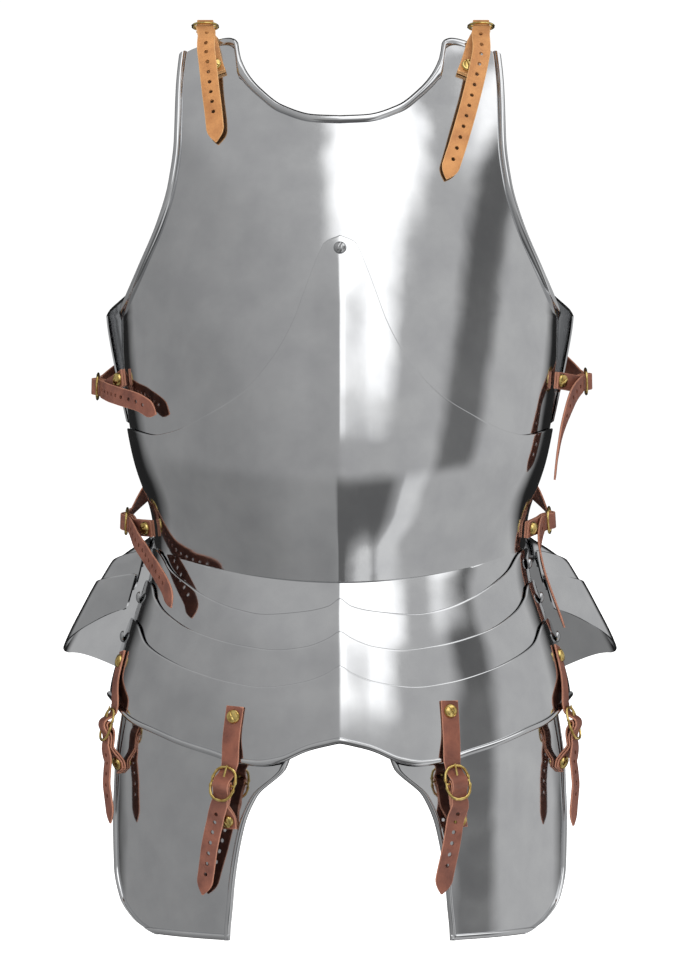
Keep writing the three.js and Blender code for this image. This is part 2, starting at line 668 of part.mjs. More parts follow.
// Leather along a path of distances and heights, with a width at each step.
function ribbon(route, path, widthAt) {
  return sweep(path.map(([distance, height], i) => {
    const before = path[Math.max(0, i - 1)];
    const after = path[Math.min(path.length - 1, i + 1)];
    const run = Math.hypot(after[0] - before[0], after[1] - before[1]);
    const offset = [-(after[1] - before[1]) / run * leather / 2, (after[0] - before[0]) / run * leather / 2];
    const half = widthAt(distance) / 2;
    const corner = (sign, width) => (
      route.at(distance + sign * offset[0], height + sign * offset[1], width));
    return [corner(-1, -half), corner(-1, half), corner(1, half), corner(1, -half)];
  }));
}

// A rigid piece modelled with +X along the route, +Y across and +Z off the plate.
function onRoute(route, distance, geometry) {
  const { point, along, normal, across } = route.frame(distance);
  const turned = new THREE.Matrix4().makeBasis(along, across.negate(), normal).setPosition(point);
  return geometry.clone().applyMatrix4(turned);
}

function ovalPoints(length, width, power, count) {
  return Array.from({ length: count }, (_, i) => {
    const angle = i / count * 2 * Math.PI;
    const round = (value) => Math.sign(value) * Math.abs(value) ** (2 / power);
    return new THREE.Vector2(length / 2 * round(Math.cos(angle)), width / 2 * round(Math.sin(angle)));
  });
}

function tipped(geometry) {
  const run = ring.length - ring.rim;
  return geometry.rotateY(Math.atan2(ring.high - ring.low, run)).translate(0, 0, (ring.high + ring.low) / 2);
}

function tongueBox(width, thick, from, to) {
  return new THREE.BoxGeometry(to - from, width, thick).translate((from + to) / 2, 0, 0)
    .rotateY(degrees(0.6)).translate(0, 0, (ring.high + ring.low) / 2);
}

function buckle() {
  const outline = new THREE.Shape(ovalPoints(ring.length, ring.width, 2.6, 14));
  const opening = ovalPoints(ring.length - 2 * ring.rim, ring.width - 2 * ring.rim, 4, 18);
  outline.holes.push(new THREE.Path(opening.reverse()));
  const rim = new THREE.ExtrudeGeometry(outline, { depth: ring.thick, bevelEnabled: false })
    .translate(0, 0, -ring.thick / 2);
  const bar = new THREE.CylinderGeometry(ring.bar, ring.bar, ring.width - ring.rim, 6);
  return join([tipped(rim), tipped(bar), tongueBox(1.8, 1.4, 0, ring.length / 2 + 0.4)]);
}

// The chape folds round the buckle's bar: out along the plate, round the bar, and back over itself.
function chapePath(length) {
  const lower = air + leather / 2;
  const upper = lower + leather + air;
  const middle = (ring.high + ring.low) / 2;
  const reach = ring.bar + air + leather / 2;
  const round = [-120, -60, 0, 60, 120].map((angle) => (
    [reach * Math.cos(degrees(angle)), middle + reach * Math.sin(degrees(angle))]));
  const steps = Math.round((length - 14) / 6.5);
  const back = Array.from({ length: steps + 1 }, (_, i) => THREE.MathUtils.lerp(-14, -length, i / steps));
  return [
    ...back.map((distance) => [distance, lower]).reverse(), [-8, lower], [-4, lower + 0.9], ...round,
    [-4, middle + 0.5], [-8, upper + 0.7], [-11, upper], ...back.map((distance) => [distance, upper]),
  ];
}

// The strap runs under the ring's far end, up over bar and chape, and out under its near end to the tail.
function strapPath(route, tailHeights) {
  const rest = air + leather / 2;
  const middle = (ring.high + ring.low) / 2;
  const top = middle + ring.bar + 2 * air + 1.5 * leather;
  const near = rest + 2 * (leather + air);
  const free = Array.from({ length: 6 }, (_, i) => THREE.MathUtils.lerp(route.start, 18, i / 6));
  const tailStart = -(ring.length / 2 + 3);
  const steps = Math.ceil((tailStart - route.end) / 11);
  const tail = Array.from({ length: steps }, (_, i) => {
    const place = Math.max(0, (i + 1) / steps * tailHeights.length - 1);
    const before = Math.floor(place);
    const after = Math.min(before + 1, tailHeights.length - 1);
    const height = THREE.MathUtils.lerp(tailHeights[before], tailHeights[after], place - before);
    return [THREE.MathUtils.lerp(tailStart, route.end, (i + 1) / steps), height];
  });
  return [
    ...free.map((distance) => [distance, rest]),
    [18, rest], [13.5, rest], [9.6, rest + 0.4], [6.5, rest + 3.2], [3.4, top - 1.2], [1.5, top],
    [-1.5, top], [-3.6, top - 1], [-6.2, near + 2], [-9.6, near + 0.5], [-13.5, near + 0.2],
    [tailStart, near + 0.2], ...tail,
  ];
}

// How high a layer of leather stands under a rivet's head, measured square to the leather at the rivet.
function riseUnder(route, distance, height) {
  const { point, normal } = route.frame(distance);
  const heights = [-6, -3, 0, 3, 6].flatMap((ahead) => [-rosette.radius, 0, rosette.radius].map((sideways) => (
    route.at(distance + ahead, height, sideways).sub(point).dot(normal))));
  return Math.max(...heights);
}

const strapTip = 11;
function strapSet({ name, side, incoming, hinge, along, tail, tailHeights, chape, rivetAt, material }) {
  const word = side > 0 ? 'left' : 'right';
  const toward = new THREE.Vector3(side * along[0], along[1], along[2]);
  toward.addScaledVector(hinge.normal, -toward.dot(hinge.normal)).normalize();
  const seat = { ...hinge, along: toward };
  const strapRoute = new Route(incoming, seat, tail);
  const chapeRoute = new Route([], seat, chape);
  const rivetDistance = -rivetAt;
  const chapeLength = rivetAt + 8;
  const headHeight = riseUnder(chapeRoute, rivetDistance, 2 * (leather + air)) + 2 * air;
  const slot = onRoute(chapeRoute, 0, tongueBox(3, 3.4, 0.4, 6));
  const shankHole = onRoute(chapeRoute, rivetDistance, new THREE.CylinderGeometry(1.8, 1.8, 12, 6)
    .rotateX(Math.PI / 2));
  const hole = onRoute(strapRoute, 0, tongueBox(3, 3.2, 3.2, 11.5));
  const width = (distance) => {
    const left = distance - strapRoute.end;
    if (left < strapTip) return Math.max(2, strapWidth * Math.sqrt(left / strapTip));
    return Math.abs(distance) < 14 ? strapWidth - 1.4 : strapWidth;
  };
  place(`${name}_strap_${word}`, cut(ribbon(strapRoute, strapPath(strapRoute, tailHeights), width), [hole]),
    material());
  place(`${name}_chape_${word}`, cut(ribbon(chapeRoute, chapePath(chapeLength), () => strapWidth - 1),
    [slot, shankHole]), material());
  place(`${name}_buckle_${word}`, onRoute(chapeRoute, 0, buckle()), brass());
  place(`${name}_rosette_${word}`, onRoute(chapeRoute, rivetDistance, rivet({
    domeRadius: rosette.radius, domeHeight: rosette.height, shankRadius: rosette.shank,
    grip: headHeight - air, tailRadius: 0, tailHeight: 0, sides: 8,
  }).rotateX(Math.PI / 2).translate(0, 0, headHeight)), brass());
}

const front = (side, across, z, lift = 0) => on(breastSurface, side, across, z, lift);
const plackart = (side, across, z, lift = 0) => on(frontSurface, side, across, z, lap + lift);
const lastLame = (side, across, z, lift = 0) => on(frontSurface, side, across, z, 4 * lap + lift);
const onTasset = (side, across, z, lift = 0) => on(tassetSurface, side, across, z, tassetLayer + lift);
const rear = (side, across, z, lift = 0) => on(backSurface, side, across, z, lift);

const shoulderIncoming = (side, x) => [
  rear(side, 106, -56, 0.2), rear(side, 106, -30, 0.6), free(side, x - 3, 42, -5, 0, 0.6, 0.8),
  free(side, x, 14, -0.3, 0, 0.05, 1),
];
strapSet({
  name: 'shoulder', side: -1, material: tanLeather, rivetAt: 48,
  incoming: shoulderIncoming(-1, 107),
  hinge: free(-1, 107, -20, -1.8, 0, -0.1, 1), along: [0, 1, 0.1],
  tail: [front(-1, 103.5, -24, 4), front(-1, 100, -52, 2), front(-1, 97, -76, 2), front(-1, 96, -94, 1)],
  tailHeights: [11.5, 9, 7, 5.5, 4, 1.5],
  chape: [
    free(-1, 103.5, -40, -12, -0.1, -0.8, 0.6), front(-1, 99, -28, 0.4), front(-1, 92, -48, 0.7),
  ],
});
strapSet({
  name: 'shoulder', side: 1, material: tanLeather, rivetAt: 50,
  incoming: shoulderIncoming(1, 112),
  hinge: free(1, 112, -20, -1.8, 0, -0.1, 1), along: [0, 1, 0.1],
  tail: [
    front(1, 109, -26, 4), front(1, 102, -56, 2), front(1, 92, -92, 2), front(1, 82, -124, 1),
  ],
  tailHeights: [11.5, 9, 7, 5.5, 4, 1.5],
  chape: [
    free(1, 107, -39, -13, 0.1, -0.8, 0.6), front(1, 101, -30, 0.4), front(1, 92, -54, 1.6),
  ],
});

// Side straps come forward round the back plate and close over the breast's side edges.
strapSet({
  name: 'side_upper', side: -1, material: brownLeather, rivetAt: 37,
  incoming: [rear(-1, 156, -260, 0.2), rear(-1, 171, -264, 0.6)],
  hinge: free(-1, 188, 5, -281, 0.98, -0.2, 0), along: [0.2, 0.97, 0.15],
  tail: [
    free(-1, 178, -32, -287, 0.9, -0.43, 0), free(-1, 167, -56, -291, 0.84, -0.54, 0),
    front(-1, 153, -296, 5), front(-1, 141, -305, 5),
  ],
  tailHeights: [5.5, 6, 6, 4, 3, 2],
  chape: [front(-1, 171.5, -276, 2), front(-1, 168, -274, 0.8), front(-1, 161, -271, 0.4)],
});
strapSet({
  name: 'side_upper', side: 1, material: brownLeather, rivetAt: 38,
  incoming: [rear(1, 156, -248, 0.2), rear(1, 171, -254, 0.6)],
  hinge: free(1, 191, 6, -277, 0.98, -0.2, 0), along: [0.2, 0.97, 0.15],
  tail: [
    free(1, 179, -30, -292, 0.95, -0.3, 0.1), free(1, 172, -42, -314, 0.98, -0.15, 0.1),
    free(1, 169, -46, -336, 1, -0.1, 0), free(1, 168, -47, -356, 1, -0.1, 0),
  ],
  tailHeights: [5, 5, 4, 3, 2, 1],
  chape: [front(1, 171.5, -277, 2), front(1, 168, -277, 0.8), front(1, 161, -277, 0.4)],
});
const rearLower = (side, across, z, lift) => rear(side, across, z, lift - lap);
strapSet({
  name: 'side_lower', side: -1, material: brownLeather, rivetAt: 36,
  incoming: [
    rearLower(-1, 132, -350, 0.3), rearLower(-1, 142, -354, 1.2), rearLower(-1, 149.5, -359, 4),
  ],
  hinge: free(-1, 165, 7, -389, 0.98, -0.2, 0), along: [0.2, 0.95, 0.25],
  tail: [
    free(-1, 157, -28, -403, 0.9, -0.43, 0), free(-1, 148, -50, -415, 0.87, -0.5, 0),
    free(-1, 138.5, -76, -429, 0.85, -0.53, 0), free(-1, 131.5, -96, -442, 0.85, -0.53, 0),
    free(-1, 128.5, -104, -455, 0.85, -0.53, 0),
  ],
  tailHeights: [5, 5, 5, 4, 3, 2],
  chape: [plackart(-1, 145.5, -394, 0.4), plackart(-1, 138.5, -395, 0.2)],
});
strapSet({
  name: 'side_lower', side: 1, material: brownLeather, rivetAt: 36,
  incoming: [rearLower(1, 132, -350, 0.3), rearLower(1, 142, -353, 1.2), rearLower(1, 149.5, -357, 4)],
  hinge: free(1, 162, 7, -388, 0.94, -0.34, 0), along: [0.34, 0.9, 0.2],
  tail: [
    free(1, 153, -20, -406, 0.98, -0.15, 0.1), free(1, 155, -19, -420, 0.98, 0, 0.15),
    free(1, 162, -15, -438, 0.95, 0, 0.3), free(1, 170, -12, -456, 0.93, 0, 0.36),
    free(1, 178, -10, -474, 0.93, 0, 0.36),
  ],
  tailHeights: [5.5, 5.5, 4, 3, 2, 1],
  chape: [plackart(1, 145, -395, 0.4), plackart(1, 138, -397, 0.2)],
});

// Tasset straps hang from the last lame, over its hem, to buckles on the tassets.
const tassetTail = [6.5, 7.5, 7, 5, 3, 2];
strapSet({
  name: 'tasset_inner', side: -1, material: brownLeather, rivetAt: 31,
  incoming: [lastLame(-1, 79, -530, 0.2), lastLame(-1, 82, -554, 0.4)],
  hinge: onTasset(-1, 86, -586, 8.5), along: [-0.12, -0.25, 0.95],
  tail: [onTasset(-1, 91, -612, 4.5), onTasset(-1, 97, -642, 2), onTasset(-1, 103.5, -672, 2)],
  tailHeights: tassetTail,
  chape: [onTasset(-1, 84, -614, 0.2), onTasset(-1, 83.5, -626, 0.2)],
});
strapSet({
  name: 'tasset_inner', side: 1, material: brownLeather, rivetAt: 31,
  incoming: [lastLame(1, 82.5, -526, 0.2), lastLame(1, 84, -553, 0.4)],
  hinge: onTasset(1, 86.5, -585, 8.5), along: [-0.04, -0.25, 0.95],
  tail: [onTasset(1, 85, -612, 4.5), onTasset(1, 80, -642, 4), onTasset(1, 76, -670, 5)],
  tailHeights: tassetTail,
  chape: [onTasset(1, 89, -614, 0.2), onTasset(1, 90, -626, 0.2)],
});
strapSet({
  name: 'tasset_outer', side: -1, material: brownLeather, rivetAt: 31,
  incoming: [lastLame(-1, 170, -494, 0.2), lastLame(-1, 175, -516, 0.4)],
  hinge: onTasset(-1, 176.5, -549, 9), along: [0.2, -0.1, 0.95],
  tail: [onTasset(-1, 175, -575, 6), onTasset(-1, 176, -600, 8), onTasset(-1, 177, -624, 11)],
  tailHeights: tassetTail,
  chape: [onTasset(-1, 170, -577, 0.2), onTasset(-1, 168, -589, 0.2)],
});
strapSet({
  name: 'tasset_outer', side: 1, material: brownLeather, rivetAt: 31,
  incoming: [lastLame(1, 170, -490, 0.2), lastLame(1, 175, -514, 0.4)],
  hinge: onTasset(1, 177, -548, 9), along: [0.2, -0.1, 0.95],
  tail: [onTasset(1, 176, -575, 7), onTasset(1, 178, -600, 10), onTasset(1, 180, -626, 13)],
  tailHeights: tassetTail,
  chape: [onTasset(1, 170.5, -576, 0.2), onTasset(1, 168.5, -588, 0.2)],
});

export default cuirass;
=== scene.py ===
import math

import bpy
import numpy as np
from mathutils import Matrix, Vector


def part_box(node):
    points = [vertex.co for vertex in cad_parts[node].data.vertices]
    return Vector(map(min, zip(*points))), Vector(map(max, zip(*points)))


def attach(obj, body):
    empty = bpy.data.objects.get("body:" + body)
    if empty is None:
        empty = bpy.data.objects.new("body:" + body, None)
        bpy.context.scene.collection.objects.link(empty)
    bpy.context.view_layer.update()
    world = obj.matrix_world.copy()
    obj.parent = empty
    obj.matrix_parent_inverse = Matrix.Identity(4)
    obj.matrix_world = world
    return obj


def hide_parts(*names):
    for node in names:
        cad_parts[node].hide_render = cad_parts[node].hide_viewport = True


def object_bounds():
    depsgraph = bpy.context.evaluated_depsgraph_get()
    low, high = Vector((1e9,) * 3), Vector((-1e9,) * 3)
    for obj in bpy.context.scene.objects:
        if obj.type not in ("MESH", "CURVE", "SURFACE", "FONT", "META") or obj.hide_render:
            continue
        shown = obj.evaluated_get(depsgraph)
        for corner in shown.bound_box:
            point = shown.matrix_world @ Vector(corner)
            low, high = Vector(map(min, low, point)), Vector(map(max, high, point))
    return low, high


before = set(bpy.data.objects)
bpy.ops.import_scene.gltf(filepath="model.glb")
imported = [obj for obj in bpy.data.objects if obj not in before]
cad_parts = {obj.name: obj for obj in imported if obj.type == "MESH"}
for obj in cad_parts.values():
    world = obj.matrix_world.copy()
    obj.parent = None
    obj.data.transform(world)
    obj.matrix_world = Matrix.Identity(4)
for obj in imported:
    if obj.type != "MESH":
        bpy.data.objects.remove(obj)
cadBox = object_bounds()
mm = 0.001


# Numbers and curves are all in millimetres.

# A smooth curve through points: a cubic on each stretch, its slopes the harmonic mean of the two chords,
# so it never overshoots, and straight on beyond both ends.
def throughPoints(places, values, at):
    places, values = np.asarray(places, float), np.asarray(values, float)
    if places[0] > places[-1]:
        places, values = places[::-1], values[::-1]
    at = np.asarray(at, float)
    run = np.diff(places)
    chord = np.diff(values) / run
    product = chord[:-1] * chord[1:]
    total = chord[:-1] + chord[1:]
    inner = np.where(product > 0, 2 * product / np.where(product > 0, total, 1), 0)
    slope = np.concatenate([chord[:1], inner, chord[-1:]])
    i = np.clip(np.searchsorted(places, at, side="right") - 1, 0, len(run) - 1)
    t = np.clip((at - places[i]) / run[i], 0, 1)
    curve = (values[i] * (1 + 2 * t) * (1 - t) ** 2 + slope[i] * run[i] * t * (1 - t) ** 2
             + values[i + 1] * t * t * (3 - 2 * t) + slope[i + 1] * run[i] * t * t * (t - 1))
    return curve + slope[0] * np.minimum(at - places[0], 0) + slope[-1] * np.maximum(at - places[-1], 0)


# The same curve averaged over a short window, which takes the kinks out of its curvature.
def faired(table, column, z, window):
    offsets = np.array([-1, -0.5, 0, 0.5, 1])
    weights = np.array([0.12, 0.23, 0.3, 0.23, 0.12])
    curves = [throughPoints(table["z"], table[column], z + offset * window) for offset in offsets]
    return sum(weight * curve for weight, curve in zip(weights, curves))


# Goes smoothly from 0 at start to 1 at end.
def ramp(start, end, value):
    t = np.clip((value - start) / (end - start), 0, 1)
    return t * t * (3 - 2 * t)


# Vectors scaled to length one.
def unit(vectors):
    return vectors / np.maximum(np.linalg.norm(vectors, axis=-1, keepdims=True), 1e-9)


# The body's surfaces, by half width and centre depth of each section.
sheet = {"wall": 1.2, "lap": 2.4, "ridgeHeight": 3.0, "ridgeWidth": 24.0}
frontCrease = {"z": -435, "rise": 25}
backCrease = {"z": -394, "start": 8, "squareness": 0.4, "wingAngle": math.radians(16), "wingShape": 0.93}
chest = {
    "z": [20, -20, -75, -120, -180, -228, -300, -345, -388, -420, -435],
    "half": [175, 175, 175, 175, 175, 175, 170, 161.5, 147, 146, 148],
    "depth": [20, 47, 84, 104, 123, 136, 150, 155, 149, 134, 125],
}
skirt = {
    "z": [-400, -422, -435, -455, -490, -530, -580],
    "half": [146, 146.5, 148.5, 154.5, 166, 176, 181],
    "depth": [105, 117, 125, 134, 148, 159, 167],
}
frontArmhole = {"z": [0, -20, -50, -90, -125, -155, -190, -228],
                "across": [122, 127, 129, 129.5, 133.5, 142, 157, 174.6]}
backBody = {
    "z": [20, -20, -60, -120, -200, -222, -250, -289, -320, -356, -394],
    "half": [188, 188, 188, 188, 188, 188, 184, 176, 169, 158, 148],
    "depth": [30, 60, 84, 102, 112, 112, 110, 106, 99, 90, 80],
}
backArmhole = {"z": [0, -20, -60, -120, -150, -170, -188, -205, -222],
               "across": [118, 122, 124, 126, 134, 143, 156, 172, 187.5]}
culet = {
    "z": [-394, -403, -410, -429, -455, -499, -560],
    "wing": [148, 164, 174, 188, 204, 226, 240],
    "end": [148, 152, 154, 158, 165, 176, 186],
    "depth": [80, 87, 93, 108, 126, 150, 172],
}
tassetOutline = {
    "z": [-530, -573, -596, -620, -660, -682, -697, -706],
    "outer": [172, 175, 176, 177, 176, 171, 159, 142],
    "inner": [30, 40, 63, 73, 80, 82, 83.5, 84],
}


# Breast: an ellipse at each height, its waist crease rising toward the sides.
def breastSurface(angle, z):
    angle, z = np.broadcast_arrays(angle, z)
    lift = z - frontCrease["rise"] * np.sin(angle) ** 2 * ramp(-330, -410, z)
    half = np.where(z < -410, faired(skirt, "half", z, 7), faired(chest, "half", z, 16))
    belowCrease = lift < frontCrease["z"]
    depth = np.where(belowCrease, faired(skirt, "depth", lift, 7), faired(chest, "depth", lift, 9))
    return np.stack([half * np.sin(angle), -depth * np.cos(angle), z], -1)


# The same with a ridge down its middle.
def frontSurface(angle, z):
    point = breastSurface(angle, z)
    across = np.sqrt(point[..., 0] ** 2 + 1.2)
    crest = np.maximum(0, 1 - across / sheet["ridgeWidth"]) ** 1.5
    point[..., 1] -= sheet["ridgeHeight"] * ramp(-150, -230, point[..., 2]) * crest
    return point


# The skirt's last section carried straight down.
def tassetSurface(angle, z):
    point = frontSurface(angle, np.maximum(z, -575))
    point[..., 2] = z
    return point


# Back: an ellipse, and below its crease a squarer section that flares into wings, pinched in at their ends.
def backSurface(angle, z):
    angle, z = np.broadcast_arrays(angle, z)
    start = backCrease["start"]
    body = z > backCrease["z"]
    squarer = ramp(backCrease["z"], -425, z)
    depth = np.where(body, faired(backBody, "depth", z, 14), faired(culet, "depth", z, 5))
    y = start + (depth - start) * np.cos(angle)
    torso = faired(backBody, "half", z, 14) * np.sin(angle)
    wing = faired(culet, "wing", z, 4)
    widest = backCrease["wingShape"] ** squarer
    pinch = 1 - widest * faired(culet, "end", z, 4) / wing
    fromSide = (math.pi / 2 - np.abs(angle)) / backCrease["wingAngle"]
    fullness = np.abs(np.sin(angle)) ** (1 - backCrease["squareness"] * squarer)
    flare = np.sign(angle) * wing / widest * fullness * (1 - pinch * np.exp(-fromSide ** 2))
    return np.stack([np.where(body, torso, flare), y, z], -1)


# A surface point moved out along the normal, which is the cross of the steps down and across.
def lifted(surface, angle, z, lift):
    angle, z, lift = np.broadcast_arrays(np.asarray(angle, float), np.asarray(z, float), lift)
    point = surface(angle, z)
    across = surface(angle + 0.008, z) - surface(angle - 0.008, z)
    down = surface(angle, z - 0.8) - surface(angle, z + 0.8)
    normal = unit(np.cross(down, across))
    inward = (normal[..., :2] * point[..., :2]).sum(-1) < 0
    normal = np.where(inward[..., None], -normal, normal)
    return point + normal * lift[..., None], normal


# Six times the volume inside closed quads, negative when they face inwards.
def enclosedVolume(points, faces):
    a, b, c, d = (points[faces[:, k]] for k in range(4))
    return (np.einsum("ij,ij->i", a, np.cross(b, c)) + np.einsum("ij,ij->i", a, np.cross(c, d))).sum()


# Makes an object from points in millimetres and quads, with its faces turned out. A quad that names a
# corner twice running becomes a triangle.
def makePiece(name, points, faces, material, body, slot, replaced=(), sharp=45, attributes=None):
    points = np.asarray(points, float).reshape(-1, 3)
    faces = np.asarray(faces, int)
    if enclosedVolume(points, faces) < 0:
        faces = faces[:, ::-1]
    mesh = bpy.data.meshes.new(name)
    mesh.vertices.add(len(points))
    mesh.vertices.foreach_set("co", (points * mm).ravel())
    kept = np.concatenate([np.ones((len(faces), 1), bool), faces[:, 1:] != faces[:, :-1]], 1)
    sizes = kept.sum(1)
    loops = faces[kept]
    mesh.loops.add(len(loops))
    mesh.loops.foreach_set("vertex_index", loops)
    mesh.polygons.add(len(sizes))
    mesh.polygons.foreach_set("loop_start", np.concatenate([[0], np.cumsum(sizes)[:-1]]))
    mesh.update(calc_edges=True)
    mesh.validate()
    for key, values in (attributes or {}).items():
        layer = mesh.attributes.new(key, "FLOAT", "POINT")
        layer.data.foreach_set("value", np.asarray(values, float).ravel())
    mesh.shade_smooth()
    mesh.set_sharp_from_angle(angle=math.radians(sharp))
    mesh.materials.append(material)
    piece = bpy.data.objects.new(name, mesh)
    bpy.context.scene.collection.objects.link(piece)
    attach(piece, body)
    if replaced:
        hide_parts(*replaced)
    return piece


# Quads between neighbouring lines of a grid of point numbers; wrap joins the last line to the first.
def gridQuads(numbers, wrap=False):
    if wrap:
        numbers = np.concatenate([numbers, numbers[:, :1]], 1)
    a, b, c, d = numbers[:-1, :-1], numbers[1:, :-1], numbers[1:, 1:], numbers[:-1, 1:]
    return np.stack([a, b, c, d], -1).reshape(-1, 4)


# A plate from its outer and inner grids: both faces and the four walls between their borders.
def plateFaces(rows, columns):
    outer = np.arange(rows * columns).reshape(rows, columns)
    inner = outer + rows * columns
    walls = [
        gridQuads(np.stack([inner[0], outer[0]])), gridQuads(np.stack([outer[-1], inner[-1]])),
        gridQuads(np.stack([outer[:, 0], inner[:, 0]])), gridQuads(np.stack([inner[:, -1], outer[:, -1]])),
    ]
    return np.concatenate([gridQuads(outer), gridQuads(inner)[:, ::-1], *walls])


# An sRGB hex value as linear red, green, blue and full alpha.
def colour(code):
    parts = [int(code[i:i + 2], 16) / 255 for i in (1, 3, 5)]
    return [v / 12.92 if v <= 0.04045 else ((v + 0.055) / 1.055) ** 2.4 for v in parts] + [1]


# Adds a node, sets its properties and plain inputs, and links sockets into its other inputs.
def addNode(tree, kind, settings=None, inputs=None, links=None):
    node = tree.nodes.new(kind)
    for key, value in (settings or {}).items():
        setattr(node, key, value)
    for key, value in (inputs or {}).items():
        node.inputs[key].default_value = value
    for key, socket in (links or {}).items():
        tree.links.new(socket, node.inputs[key])
    return node


# An empty node tree with its output.
def newMaterial(name):
    material = bpy.data.materials.new(name)
    material.use_nodes = True
    tree = material.node_tree
    tree.nodes.clear()
    output = addNode(tree, "ShaderNodeOutputMaterial")
    return material, tree, output


# Noise whose cells measure a size in millimetres, stretched along the axes.
def patternNoise(tree, coordinates, sizeMm, detail=3, stretch=(1, 1, 1), roughness=0.5):
    mapping = addNode(tree, "ShaderNodeMapping", inputs={"Scale": stretch}, links={"Vector": coordinates})
    return addNode(tree, "ShaderNodeTexNoise",
                   inputs={"Scale": 1000 / sizeMm, "Detail": detail, "Roughness": roughness},
                   links={"Vector": mapping.outputs[0]}).outputs["Fac"]


# A colour ramp from places and grey values or colours.
def rampNode(tree, factor, stops):
    node = addNode(tree, "ShaderNodeValToRGB", links={"Fac": factor})
    elements = node.color_ramp.elements
    while len(elements) < len(stops):
        elements.new(0.5)
    for element, (place, value) in zip(elements, stops):
        element.position = place
        element.color = value if isinstance(value, list) else [value, value, value, 1]
    return node.outputs[0]


# A value from 0 to 1 spread between two others.
def mapRange(tree, value, low, high):
    return addNode(tree, "ShaderNodeMapRange", inputs={"To Min": low, "To Max": high},
                   links={"Value": value}).outputs[0]


# Mild steel sheet, hammered to shape and mirror polished: nearly clean reflections that waver a little
# where the hammer went, and a faint haze of polishing lines.
def polishedSteel(name, base, clear, hazy, wave):
    material, tree, output = newMaterial(name)
    place = addNode(tree, "ShaderNodeTexCoord").outputs["Object"]
    hammer = patternNoise(tree, place, wave["size"], detail=1.5)
    cloud = patternNoise(tree, place, 28, detail=4)
    lines = patternNoise(tree, place, 1.6, detail=3, stretch=(1, 1, 0.06))
    roughness = mapRange(tree, addNode(tree, "ShaderNodeMath", {"operation": "MULTIPLY"}, links={
        0: cloud, 1: lines}).outputs[0], clear, hazy)
    tone = rampNode(tree, cloud, [(0.3, colour(base[0])), (0.7, colour(base[1]))])
    waver = addNode(tree, "ShaderNodeBump", inputs={"Strength": 1.0, "Distance": wave["depth"] * mm},
                    links={"Height": hammer})
    fine = addNode(tree, "ShaderNodeBump", inputs={"Strength": 0.25, "Distance": 0.00001},
                   links={"Height": lines, "Normal": waver.outputs[0]})
    shader = addNode(tree, "ShaderNodeBsdfPrincipled", inputs={"Metallic": 1.0}, links={
        "Base Color": tone, "Roughness": roughness, "Normal": fine.outputs[0]})
    tree.links.new(shader.outputs[0], output.inputs[0])
    return material


# Vegetable-tanned cowhide, dyed and waxed: a fine pebbled grain with darker pores, a soft sheen, and pale
# raw fibre where the edges were cut.
def dyedLeather(name, face, shade, edge):
    material, tree, output = newMaterial(name)
    place = addNode(tree, "ShaderNodeTexCoord").outputs["Object"]
    blotch = patternNoise(tree, place, 14, detail=4)
    pores = patternNoise(tree, place, 1.1, detail=3, roughness=0.65)
    creases = addNode(tree, "ShaderNodeTexVoronoi", {"feature": "DISTANCE_TO_EDGE"}, {"Scale": 1000 / 1.5},
                      {"Vector": place}).outputs["Distance"]
    tone = rampNode(tree, blotch, [(0.25, colour(shade)), (0.75, colour(face))])
    speck = rampNode(tree, pores, [(0.3, 0.72), (0.55, 1.0)])
    toned = addNode(tree, "ShaderNodeMix", {"data_type": "RGBA", "blend_type": "MULTIPLY"}, {0: 0.6},
                    {6: tone, 7: speck}).outputs[2]
    rim = addNode(tree, "ShaderNodeAttribute", {"attribute_name": "rim"}).outputs["Fac"]
    cutEdge = rampNode(tree, rim, [(0.9, 0.0), (0.985, 0.85)])
    painted = addNode(tree, "ShaderNodeMix", {"data_type": "RGBA"}, {7: colour(edge)},
                      {0: cutEdge, 6: toned}).outputs[2]
    grain = addNode(tree, "ShaderNodeBump", inputs={"Strength": 0.5, "Distance": 0.00012},
                    links={"Height": creases})
    pebble = addNode(tree, "ShaderNodeBump", inputs={"Strength": 0.35, "Distance": 0.0001},
                     links={"Height": pores, "Normal": grain.outputs[0]})
    roughness = mapRange(tree, blotch, 0.42, 0.62)
    shader = addNode(tree, "ShaderNodeBsdfPrincipled", inputs={"Specular IOR Level": 0.45}, links={
        "Base Color": painted, "Roughness": roughness, "Normal": pebble.outputs[0]})
    tree.links.new(shader.outputs[0], output.inputs[0])
    return material


# Cast brass, buffed by hand: bright in scattered patches and browner where the buff did not reach.
def castBrass(name, bright, dull):
    material, tree, output = newMaterial(name)
    place = addNode(tree, "ShaderNodeTexCoord").outputs["Object"]
    stain = patternNoise(tree, place, 4, detail=4)
    grit = patternNoise(tree, place, 0.7, detail=2)
    tone = rampNode(tree, stain, [(0.3, colour(dull)), (0.6, colour(bright))])
    cast = addNode(tree, "ShaderNodeBump", inputs={"Strength": 0.3, "Distance": 0.00008},
                   links={"Height": grit})
    shader = addNode(tree, "ShaderNodeBsdfPrincipled", inputs={"Metallic": 1.0}, links={
        "Base Color": tone, "Roughness": mapRange(tree, stain, 0.3, 0.14), "Normal": cast.outputs[0]})
    tree.links.new(shader.outputs[0], output.inputs[0])
    return material


steelMirror = polishedSteel("mild_steel_mirror_polished", ("#c9cacc", "#d6d7d8"), 0.05, 0.2,
                            {"size": 55, "depth": 0.9})
steelRivet = polishedSteel("mild_steel_rivet_buffed", ("#aeb0b2", "#c4c5c6"), 0.12, 0.3,
                           {"size": 6, "depth": 0.05})
tanHide = dyedLeather("cowhide_veg_tanned_tan", "#b8834f", "#946238", "#c79a68")
brownHide = dyedLeather("cowhide_veg_tanned_russet", "#7d4a38", "#552f25", "#a3705a")
brassCast = castBrass("brass_cast_buffed", "#f3d98a", "#c09a50")
print("materials ready")


